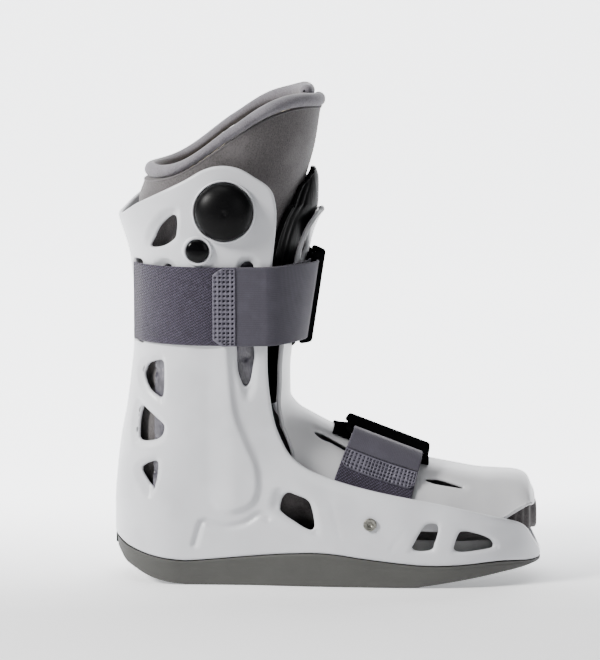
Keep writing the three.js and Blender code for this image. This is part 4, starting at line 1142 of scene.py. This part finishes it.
def strap(name, base, looks, back_to, far_back, rows, tab):
    """One closure's tape: the layer that comes to the ring, the one folded back round its bar,
    the tab on that one's end, and the far side's plain strap, the mirror image but longer."""
    node = name + "_strap"
    turn, back, outer = folded(base, back_to)
    over = np.vstack([base[-1:], turn, back])
    for end, look, grid in (("_wrap", "loop", refined(base, rows[0], 24)),
                            ("_pull", "webbing", refined(over, rows[1], 24))):
        fitted(band(node + end, grid, STRAP_THICKNESS), looks[look], [node])
    hook_tab(name + "_tab", outer, look=looks["tab"], node=name + "_hook_tab", **tab)
    turn, back, _ = folded(base, len(base) - far_back)
    far = refined(np.vstack([base, turn, back]), rows[2], 20)
    far = band(name + "_far_strap", (far * (1, -1, 1))[:, ::-1], STRAP_THICKNESS)
    fitted(far, looks["webbing"], [name + "_anchor_strap"])


def straps(looks):
    strap("calf", calf_base(), looks, **CALF_STRAP)
    strap("foot", foot_base(), looks, **FOOT_STRAP)
    for name, width, ring_frame, ring in (("calf", CALF_STRAP_WIDTH, calf_frame(), CALF_RING),
                                          ("foot", FOOT_STRAP_WIDTH, foot_frame(), FOOT_RING)):
        ring_plate(name + "_strap_ring", width, ring_frame, ring["sag"], looks["ring"],
                   name + "_ring")
    half = CALF_STRAP_WIDTH / 2 + RING_END_ROOM
    calf_rows = [row_below((strap_z + s * half) / SHELL_HEIGHT) for s in (1, -1)]
    foot_pad_rows = [row_past(FOOT_RING[end]) for end in ("pad_from", "pad_to")]
    ring_pad("calf_strap_cushion", calf_rows, looks["ring"], "calf_ring_pad")
    ring_pad("foot_strap_cushion", foot_pad_rows, looks["ring"], "foot_ring_pad")


# The liner, its rolled edge and its lining
liner_columns = numbered(LINER)


def liner_point(k, turn, inset):
    """A section of the liner: a superellipse between its back or low point and its front or
    high point, its middle bowed up by the square of the sine, more so in front."""
    back_along, back_up, front_along, front_up, half, bow, skew, power = (
        c(k) for c in liner_columns)
    low = np.stack(place(back_along, back_up), axis=-1)
    high = np.stack(place(front_along, front_up), axis=-1)
    middle, reach = (low + high) / 2, np.linalg.norm(high - low, axis=-1) / 2
    ahead = unit(high - low)
    c, s = np.cos(turn), np.sin(turn)
    u = -np.sign(c) * np.abs(c) ** (2 / power) * (reach - inset)
    width = mix(CALF_WIDTH, BALL_WIDTH, smooth(*LINER_FOOT, k))
    y = -np.sign(s) * np.abs(s) ** (2 / power) * (half * width - inset)
    rise = (bow - skew * c) * SHELL_HEIGHT * s * s
    return np.stack([middle[..., 0] + ahead[..., 0] * u - ahead[..., 1] * rise, y,
                     middle[..., 1] + ahead[..., 1] * u + ahead[..., 0] * rise], axis=-1)


def liner_grid(rows, inset, sides):
    """A grid of the liner's points, and each point's row number and turn."""
    turn = full_turn(sides)
    k, a = np.meshgrid(rows, turn, indexing="ij")
    return liner_point(k, a, inset), k, a


def liner(look):
    """A hollow sock: outer sections from the toe to the collar, inner sections back down.

    Its foam swells a little between the seams, by a slow sine of its height and turn, and its
    toe has ribs, cosine ridges across the foot.
    """
    last = len(LINER) - 1
    sides = 112
    outer, k, a = liner_grid(np.linspace(last, 0, 190), 0, sides)
    inner = liner_grid(np.linspace(0, LINER_INSIDE_ROWS, 120), LINER_WALL, sides)[0]
    folds = LINER_FOLDS["height"] * np.sin(LINER_FOLDS["by_row"] * k + 2 * np.sin(a))
    folds *= smooth(0.1, 1.2, k) * (1 - smooth(13, 15, k))
    ribs = TOE_RIBS["depth"] * (np.cos(outer[..., 0] * 2 * np.pi / TOE_RIBS["pitch"]) - 1)
    ribs *= smooth(TOE_RIBS["from"], TOE_RIBS["full"], k)
    normal = -grid_normals(outer)
    side = np.where((normal[..., 1] * outer[..., 1]).sum() > 0, 1, -1)
    outer = outer + normal * side * (folds + ribs)[..., None]
    grid = np.concatenate([outer, inner])
    rows = len(grid)
    points = [grid.reshape(-1, 3), grid[:1].mean(axis=1), grid[-1:].mean(axis=1)]
    ring = np.arange(sides)
    ahead = np.roll(ring, -1)
    low, high = np.full(sides, rows * sides), np.full(sides, rows * sides + 1)
    end = (rows - 1) * sides
    faces = [quads(rows, sides, round_cols=True), np.column_stack([ahead, ring, low]),
             np.column_stack([ring + end, ahead + end, high])]
    sock = made_mesh("padded_liner", np.vstack(points), faces)
    fitted(sock, look, ["liner"])


def collar_roll(looks):
    """The rolled binding: a round section carried round the rim, from the near flap's edge in
    front round the back to the far flap's edge, which tucks in behind the near one and stands
    a little higher. Its ends taper as half circles, its lower half puckers by a fast sine of the
    turn, and a seam cord lies below it on each side."""
    sides = 330
    turn = np.linspace(np.pi + ROLL["near_past"], -np.pi - ROLL["far_past"], sides)
    zero = np.zeros(sides)
    path = liner_point(zero, turn, LINER_WALL / 2)
    up = unit(path - liner_point(zero + 0.3, turn, LINER_WALL / 2))
    out = liner_point(zero, turn, 0) - path
    out = unit(out - (out * up).sum(axis=1, keepdims=True) * up)
    tucked = smooth(-np.pi + 0.95, -np.pi + 0.15, turn)[:, None]
    centre = path + up * (COLLAR_ROLL + ROLL["lift"] + ROLL["far_rise"] * tucked)
    centre = centre - out * COLLAR_ROLL * ROLL["far_tuck"] * tucked
    run = run_along(centre)
    to_end = np.minimum(run, run[-1] - run)
    size = np.sqrt(1 - (1 - np.clip(to_end / COLLAR_ROLL, 0.02, 1)) ** 2)[:, None, None]
    c, s = round_section(24)
    pucker = 1 + 0.02 * np.sin(turn * 61)[:, None, None] * (s < 0)
    section = (out[:, None] * c * 0.98 + up[:, None] * s) * COLLAR_ROLL * size * pucker
    thing = made_mesh("collar_binding", (centre[:, None] + section).reshape(-1, 3),
                      [quads(sides, 24, round_cols=True)])
    fitted(thing, looks["binding"], ["liner_binding"])
    turn = full_turn(300)
    c, s = round_section(10)
    for name, inset in (("collar_seam_out", -SEAM_CORD["out"]),
                        ("collar_seam_in", LINER_WALL + SEAM_CORD["out"])):
        middle = liner_point(np.full(300, SEAM_CORD["row"]), turn, inset)
        section = (np.array([1, 0, 0]) * c + np.array([0, 0, 1]) * s) * SEAM_CORD["radius"]
        cord = middle[:, None] + section
        seam = made_mesh(name, cord.reshape(-1, 3), [quads(300, 10, True, True)])
        fitted(seam, looks["seam"])


def lining(look):
    """The perforated lining: a thin sleeve inside the collar."""
    sides = 160
    rows = np.linspace(LINING["from"], LINING["to"], 40)
    both = np.concatenate([liner_grid(rows, LINER_WALL + GAP, sides)[0],
                           liner_grid(rows[::-1], LINER_WALL + GAP + LINING["thick"], sides)[0]])
    u = np.linspace(0, 1, sides, endpoint=False)
    uv = np.stack(np.broadcast_arrays(np.concatenate([rows, rows[::-1]])[:, None], u[None]), -1)
    sleeve = made_mesh("collar_lining", both.reshape(-1, 3),
                       [quads(len(both), sides, True, True)], uv.reshape(-1, 2))
    fitted(sleeve, look, ["liner_lining"])


def air_cells(look):
    """Film cells behind the vents: a sheet under the shell's wall, drawn in at its weld spots,
    where the product of a cosine along the foot and one up the leg comes near 1."""
    x = place(np.linspace(AIR_CELL["from"], AIR_CELL["to"], 70), 0)[0]
    z = place(0, np.linspace(AIR_CELL["low"], AIR_CELL["high"], 150))[1]
    zz, xx = np.meshgrid(z, x, indexing="ij")
    wave_x, wave_z = AIR_CELL["spots"]
    spots = np.cos(xx * 2 * np.pi / wave_x) * np.cos(zz * 2 * np.pi / wave_z)
    depth = SHELL_WALL + SEAT_GAP + GAP + AIR_CELL["deep"]
    depth = depth + AIR_CELL["weld"] * smooth(0.55, 1, spots)
    grid = shell_offset(xx.ravel(), zz.ravel(), -depth.ravel()).reshape(*xx.shape, 3)
    for name, node, side in (("air_cell_near_film", "air_cell_near", 1),
                             ("air_cell_far_film", "air_cell_far", -1)):
        fitted(band(name, grid[:, ::side] * (1, side, 1), AIR_CELL["film"]), look,
               [node])


# Pump, valve button and screws
def pump(looks):
    """The pump's dome and the release button, each in a moulded rim of the shell. The dome is an
    ellipse with a dimple exp(-(r / width)^2) at its top."""
    face = float(-shell_half(*bulb_at)) - BOSS_RISE
    dome = arc_profile((0, 0), (BULB_RADIUS, BULB_RISE), 0, 90, 40)
    dome[:, 1] -= BULB_DIMPLE["depth"] * np.exp(-(dome[:, 0] / BULB_DIMPLE["width"]) ** 2)
    top = [(0, BULB_RISE - BULB_DIMPLE["depth"])]
    bulb = turned("pump_dome", np.vstack([[(0, -0.6), (BULB_RADIUS - 0.6, -0.6)], dome[:-1], top]),
                  bulb_at, face)
    fitted(bulb, looks["rubber"], ["pump_bulb"])
    rim = np.vstack([[(BULB_RADIUS + GAP, 0.2 - BOSS_RISE), (BULB_RADIUS + GAP, -0.4)],
                     arc_profile((BULB_RADIUS + 1.1, -0.4), (0.7, 0.7), 180, 0, 9),
                     [(BOSS_RADIUS, -2.0), (BOSS_RADIUS + 0.5, -5.5)]])
    boss = turned("pump_rim", rim[::-1], bulb_at, face)
    fitted(boss, looks["shell"])

    face = float(-shell_half(*button_at)) - COLLAR_RISE
    dome = arc_profile((0, 0), (BUTTON_RADIUS, BUTTON_DOME), 0, 90, 24)
    under = [(0, -BUTTON_BODY), (BUTTON_RADIUS - 0.4, -BUTTON_BODY),
             (BUTTON_RADIUS, -BUTTON_BODY + 0.4)]
    button = turned("valve_button", np.vstack([under, dome[:-1], [(0, BUTTON_DOME)]]), button_at,
                    face)
    fitted(button, looks["gloss"], ["release_button"], "button")
    seat = BUTTON_RADIUS + GAP
    crown = arc_profile(((seat + COLLAR_RADIUS) / 2, -0.8), ((COLLAR_RADIUS - seat) / 2, 0.8),
                        180, 0, 11)
    rim = np.vstack([[(seat, -BUTTON_BODY - 2), (seat, -0.8)], crown,
                     [(COLLAR_RADIUS + 0.4, -3.0), (COLLAR_RADIUS + 1.2, -6.5)]])
    fitted(turned("button_collar", rim[::-1], button_at, face), looks["shell"])


def screws(looks):
    """Socket screws: a flat head with a round edge and a bevel, sunk to its socket."""
    face = float(-shell_half(*screw_at)) - GAP
    edge = arc_profile((SCREW_HEAD_RADIUS - 0.7, SCREW_HEAD - 0.7), (0.7, 0.7), 0, 90, 6)
    socket = [(3.2, SCREW_HEAD + 0.05), (2.9, SCREW_HEAD - 0.25), (2.4, SCREW_HEAD - 0.3),
              (2.1, SCREW_HEAD - 0.2), (1.9, SCREW_HEAD - 0.5), (1.8, 0.3), (0, 0.2)]
    head = np.vstack([[(SCREW_HEAD_RADIUS - 0.2, -0.3)], edge, socket])
    for name, node, side in (("screw_head_near", "screw_near", 1),
                             ("screw_head_far", "screw_far", -1)):
        thing = turned(name, head, screw_at, face, 72)
        if side < 0:
            points = np.empty(len(thing.data.vertices) * 3, np.float32)
            thing.data.vertices.foreach_get("co", points)
            points[1::3] *= -1
            thing.data.flip_normals()
            thing.data.vertices.foreach_set("co", points)
        fitted(thing, looks["steel"], [node])


# Finishes
def moulded_plastic(name, light, dark):
    """Satin moulded plastic: slow clouds of tone, a fine even grain and faint handling marks."""
    look = Finish(name, IOR=1.46, Coat_Weight=0.12, Coat_Roughness=0.25)
    where = look.place()
    clouds = look.noise(where, 34, 2).above(0.35, 0.35)
    grain = look.noise(where, 0.9, 2)
    marks = look.noise(look.place((0.3, 1, 2.6), (0, 0.5, 0)), 2.2, 4).above(0.62, 0.12)
    return look.wears(Base_Color=look.blend(clouds * 0.7 + marks * 0.12, light, dark),
                      Roughness=0.33 + grain * 0.08 + marks * 0.05 + clouds * 0.03,
                      Normal=look.bump(grain, 0.05, 0.35))


def sole_rubber():
    """Matte rubber: clouds of tone, fine pores and long pale scuffs."""
    look = Finish("sole_rubber", Specular_IOR_Level=0.4)
    where = look.place()
    clouds = look.noise(where, 18, 3)
    pores = look.noise(where, 0.7, 3)
    scuffs = look.noise(look.place((0.25, 0.25, 3)), 3.0, 5).above(0.58, 0.2)
    tone = look.blend(clouds * 0.6 + scuffs * 0.35, rgb(64, 64, 62), rgb(80, 80, 77))
    return look.wears(Base_Color=tone,
                      Roughness=0.58 + pores * 0.16 + scuffs * 0.1,
                      Normal=look.bump(pores + scuffs * 0.5, 0.10, 0.5))


def knit(name, base, pale, deep, pitch):
    """Brushed knit: loops in rows, seen as a fine grid of soft bumps under a nap of fibres."""
    look = Finish(name, Sheen_Weight=0.25, Sheen_Roughness=0.6, Specular_IOR_Level=0.2)
    where = look.place()
    loops = look.cells(look.place((1, 1, 0.8)), pitch, loose=0.6)
    nap = look.noise(look.place((1, 1, 0.45)), 0.55, 4, 0.7)
    cloud = look.noise(where, 22, 3)
    tone = look.blend(nap.above(0.38, 0.3), deep, base)
    tone = look.blend(cloud.above(0.45, 0.3) * 0.35 + loops.above(0.2, 0.4) * 0.25, tone, pale)
    return look.wears(Base_Color=tone, Roughness=0.86 + nap * 0.12,
                      Normal=look.bump(nap * 0.6 + (1 - loops) * 0.5, 0.22, 0.8))


def lining_mesh():
    """Beige lining with staggered round holes."""
    look = Finish("lining_mesh", Specular_IOR_Level=0.25)
    where = look.sheet_place((14.5, 78, 1))
    row, along = look.part(where, 0), look.part(where, 1)
    half = row.through("FLOOR") * 0.5
    a = (row.through("FRACT") - 0.5) * 1.6
    b = ((along + half).through("FRACT") - 0.5) * 2.4
    hole = 1 - (a * a + b * b).above(0.16, 0.10)
    nap = look.noise(look.place(), 0.8, 3)
    cloth = look.blend(nap, rgb(196, 186, 168), rgb(216, 207, 190))
    return look.wears(Base_Color=look.blend(hole, cloth, rgb(92, 84, 74)),
                      Roughness=0.8 + nap * 0.15,
                      Normal=look.bump(nap * 0.3 - hole, 0.35, 0.8))


def brushed_loop():
    """The fuzzy side of hook and loop tape: tangled pale fibres over dark ones."""
    look = Finish("brushed_loop", Sheen_Weight=0.3, Sheen_Roughness=0.5, Specular_IOR_Level=0.2)
    where = look.place((1, 1, 0.75))
    tangle = look.noise(where, 0.55, 5, 0.75)
    clumps = look.cells(look.place((1, 1, 0.8)), 1.25, loose=0.8)
    cloud = look.noise(look.place(), 9, 3)
    along, up = look.part(look.place(), 0), look.part(look.place(), 2)
    columns = (along * (2 * math.pi / 2.3)).through("SINE")
    rows = columns * (up * (2 * math.pi / 2.0) + along).through("SINE")
    tone = look.blend((tangle + rows * 0.16).above(0.40, 0.20), rgb(8, 7, 12), rgb(80, 74, 92))
    tone = look.blend(clumps.above(0.15, 0.5) * 0.45 + cloud.above(0.5, 0.2) * 0.2,
                      tone, rgb(36, 32, 43))
    return look.wears(Base_Color=tone, Roughness=0.88 + tangle * 0.1,
                      Normal=look.bump(tangle + (1 - clumps) * 0.6 + rows * 0.15, 0.45, 0.9))


def smooth_webbing():
    """The plain side of the tape: a fine close weave with lines along it."""
    look = Finish("smooth_webbing", Sheen_Weight=0.15, Sheen_Roughness=0.5, Specular_IOR_Level=0.3)
    where = look.sheet_place()
    u, v = look.part(where, 0), look.part(where, 1)
    weft = (u * (2 * math.pi * 130)).through("SINE") * 0.5 + 0.5
    warp = (v * (2 * math.pi * 48)).through("SINE") * 0.5 + 0.5
    nap = look.noise(look.place(), 0.6, 3)
    cloud = look.noise(look.place(), 12, 2)
    weave = weft * 0.75 + warp * 0.25
    tone = look.blend(weave * 0.5 + nap * 0.5, rgb(42, 40, 48), rgb(80, 77, 88))
    tone = look.blend(cloud.above(0.45, 0.3) * 0.2, tone, rgb(84, 81, 92))
    return look.wears(Base_Color=tone, Roughness=0.72 + nap * 0.15,
                      Normal=look.bump(weave + nap * 0.4, 0.14, 0.6))


def tab_plastic():
    """The hooked tab: a fine nap over slow clouds of tone."""
    look = Finish("tab_plastic", Specular_IOR_Level=0.4)
    nap = look.noise(look.place(), 0.6, 3)
    cloud = look.noise(look.place(), 7, 2)
    tone = look.blend(nap * 0.6 + cloud * 0.4, rgb(78, 75, 87), rgb(100, 97, 109))
    return look.wears(Base_Color=tone, Roughness=0.5 + nap * 0.2,
                      Normal=look.bump(nap, 0.12, 0.6))


def glossy_pad():
    """Smooth black foam skin: a soft shine, fine leathery grain and slow ripples."""
    look = Finish("glossy_pad", Specular_IOR_Level=0.05)
    grain = look.cells(look.place(), 1.3)
    ripple = look.noise(look.place((1, 1, 0.35)), 7, 2)
    return look.wears(Base_Color=look.blend(ripple, rgb(6, 6, 7), rgb(11, 11, 12)),
                      Roughness=0.30 + ripple * 0.14,
                      Normal=look.bump(ripple, 0.9, 0.6, look.bump(1 - grain, 0.05, 0.5)))


def clear_film():
    """Welded film: glossy, purple grey, wrinkled in long soft folds."""
    look = Finish("cell_film", Coat_Weight=0.35, Coat_Roughness=0.08)
    folds = look.noise(look.place((1, 1, 0.4), (0, 0.6, 0)), 7, 4, 0.6)
    cloud = look.noise(look.place(), 13, 2)
    tone = look.blend(cloud.above(0.4, 0.3), rgb(62, 60, 68), rgb(92, 89, 98))
    return look.wears(Base_Color=tone, Roughness=0.16 + cloud * 0.2,
                      Normal=look.bump(folds, 2.2, 0.9))


def black_rubber(name, base, rough, grain_size, coat=0.0, shine=0.10):
    """Black rubber or plastic: a fine grain, and dust that makes it paler in clouds."""
    look = Finish(name, Specular_IOR_Level=shine, Coat_Weight=coat, Coat_Roughness=0.06)
    grain = look.noise(look.place(), grain_size, 3)
    dust = look.noise(look.place(), 5, 4).above(0.5, 0.3)
    return look.wears(Base_Color=look.blend(dust * 0.5, base, tuple(c * 1.7 for c in base)),
                      Roughness=rough + grain * 0.08 + dust * 0.05,
                      Normal=look.bump(grain, 0.04, 0.4))


def dull_steel():
    """Brushed steel with dark stains."""
    look = Finish("dull_steel", Metallic=1.0)
    brush = look.noise(look.place((4, 1, 0.4)), 0.8, 4)
    stain = look.noise(look.place(), 1.6, 3).above(0.5, 0.2)
    return look.wears(Base_Color=look.blend(stain * 0.6, rgb(132, 131, 124), rgb(70, 68, 60)),
                      Roughness=0.32 + brush * 0.14 + stain * 0.12,
                      Normal=look.bump(brush, 0.03, 0.5))


def floor_and_light():
    """A floor that rises behind the boot, and soft studio lights. The floor is pale near the boot
    and darker in front, out of view. It glows with painted light, faint in front and bright behind
    the boot, which whitens the backdrop and lights the boot's back and rims.
    """
    x = np.linspace(-4, 4, 3)
    back, bend = 1.6, 1.2
    turn = np.linspace(0.1, 1, 9) * np.pi / 2
    y = np.concatenate([np.linspace(-3.5, back, 6), back + bend * np.sin(turn),
                        np.full(3, back + bend)])
    z = np.concatenate([np.zeros(6), bend * (1 - np.cos(turn)), [2, 3, 5]])
    grid = np.stack(np.broadcast_arrays(x, y[:, None], z[:, None]), axis=-1) / MM
    floor = made_mesh("studio_floor", grid.reshape(-1, 3), [quads(len(y), 3)])
    # Emission makes the floor a glowing part: painted light, faint in front and bright behind the
    # boot, that whitens the backdrop and lights the boot's back and rims
    look = Finish("studio_floor", Roughness=0.9, Specular_IOR_Level=0.1, Emission_Strength=3.0)
    depth = look.part(look.place(), 1)
    near, behind = depth.above(-900, 450), depth.above(-150, 500)
    floor.data.materials.append(look.wears(
        Base_Color=look.blend(near, (0.30, 0.30, 0.305), (0.88, 0.88, 0.885)),
        Emission_Color=look.blend(behind, (0.02, 0.021, 0.022), (0.97, 0.98, 1.0))))
    world = bpy.data.worlds.new("studio")
    world.use_nodes = True
    sky = world.node_tree.nodes["Background"].inputs
    sky[0].default_value, sky[1].default_value = (0.95, 0.97, 1.0, 1), 0.03
    bpy.context.scene.world = world
    for name, at, size, power, colour in (
            ("key", (-1.7, -0.95, 1.35), (0.6, 0.5), 96, (1.0, 0.99, 0.97)),
            ("front_fill", (1.5, -2.0, 0.9), (1.2, 1.4), 9, (0.96, 0.98, 1.0)),
            ("top", (-0.4, -0.5, 2.1), (1.2, 0.8), 14, (1.0, 1.0, 1.0)),
            ("rim", (1.4, 1.2, 0.9), (0.8, 1.2), 4, (1.0, 1.0, 1.0))):
        light = bpy.data.lights.new(name, "AREA")
        light.shape, light.size, light.size_y = "RECTANGLE", size[0], size[1]
        light.energy, light.color = power, colour
        lamp = bpy.data.objects.new(name, light)
        lamp.location = at
        aim = Vector((0, 0, 0.16)) - Vector(at)
        lamp.rotation_euler = aim.to_track_quat("-Z", "Y").to_euler()
        bpy.context.scene.collection.objects.link(lamp)


def photo_camera():
    """A long lens 3 m away on the near side, 8 degrees up, 0.70 mm to a pixel of 600 x 660."""
    away, up = 3.0, math.radians(8)
    high, pixel = 660, 0.70
    look_at = Vector((-0.0196, 0, 0.1732))
    data = bpy.data.cameras.new("photo_camera")
    data.sensor_width = 36
    data.lens = data.sensor_width * away / (high * pixel * MM)
    data.clip_start, data.clip_end = 0.1, 30
    camera = bpy.data.objects.new("photo_camera", data)
    camera.location = look_at + Vector((0, -math.cos(up), math.sin(up))) * away
    camera.rotation_euler = (math.pi / 2 - up, 0, 0)
    bpy.context.scene.collection.objects.link(camera)
    bpy.context.scene.camera = camera


photo_camera()
floor_and_light()
looks = {
    "shell": moulded_plastic("shell_plastic", rgb(205, 206, 210), rgb(192, 193, 197)),
    "cover": moulded_plastic("cover_plastic", rgb(194, 194, 196), rgb(182, 182, 185)),
    "sole": sole_rubber(),
    "knit": knit("liner_knit", rgb(88, 84, 85), rgb(106, 102, 103), rgb(58, 55, 55), 1.1),
    "binding": knit("binding_knit", rgb(112, 109, 115), rgb(134, 131, 137), rgb(80, 77, 82), 0.9),
    "seam": knit("seam_cord", rgb(92, 88, 90), rgb(110, 106, 108), rgb(70, 66, 68), 0.7),
    "lining": lining_mesh(),
    "loop": brushed_loop(),
    "webbing": smooth_webbing(),
    "tab": tab_plastic(),
    "pad": glossy_pad(),
    "film": clear_film(),
    "rubber": black_rubber("pump_rubber", rgb(8, 8, 9), 0.34, 0.5),
    "gloss": black_rubber("button_gloss", rgb(6, 6, 7), 0.12, 0.6, 0.12),
    "ring": black_rubber("ring_black", rgb(7, 7, 8), 0.5, 0.5, 0.0, 0.0),
    "steel": dull_steel(),
}
rear_shell(looks["shell"])
outsole(looks["sole"])
front_panel(looks["cover"])
shin_pad(looks["pad"])
liner(looks["knit"])
collar_roll(looks)
lining(looks["lining"])
air_cells(looks["film"])
pump(looks)
screws(looks)
straps(looks)
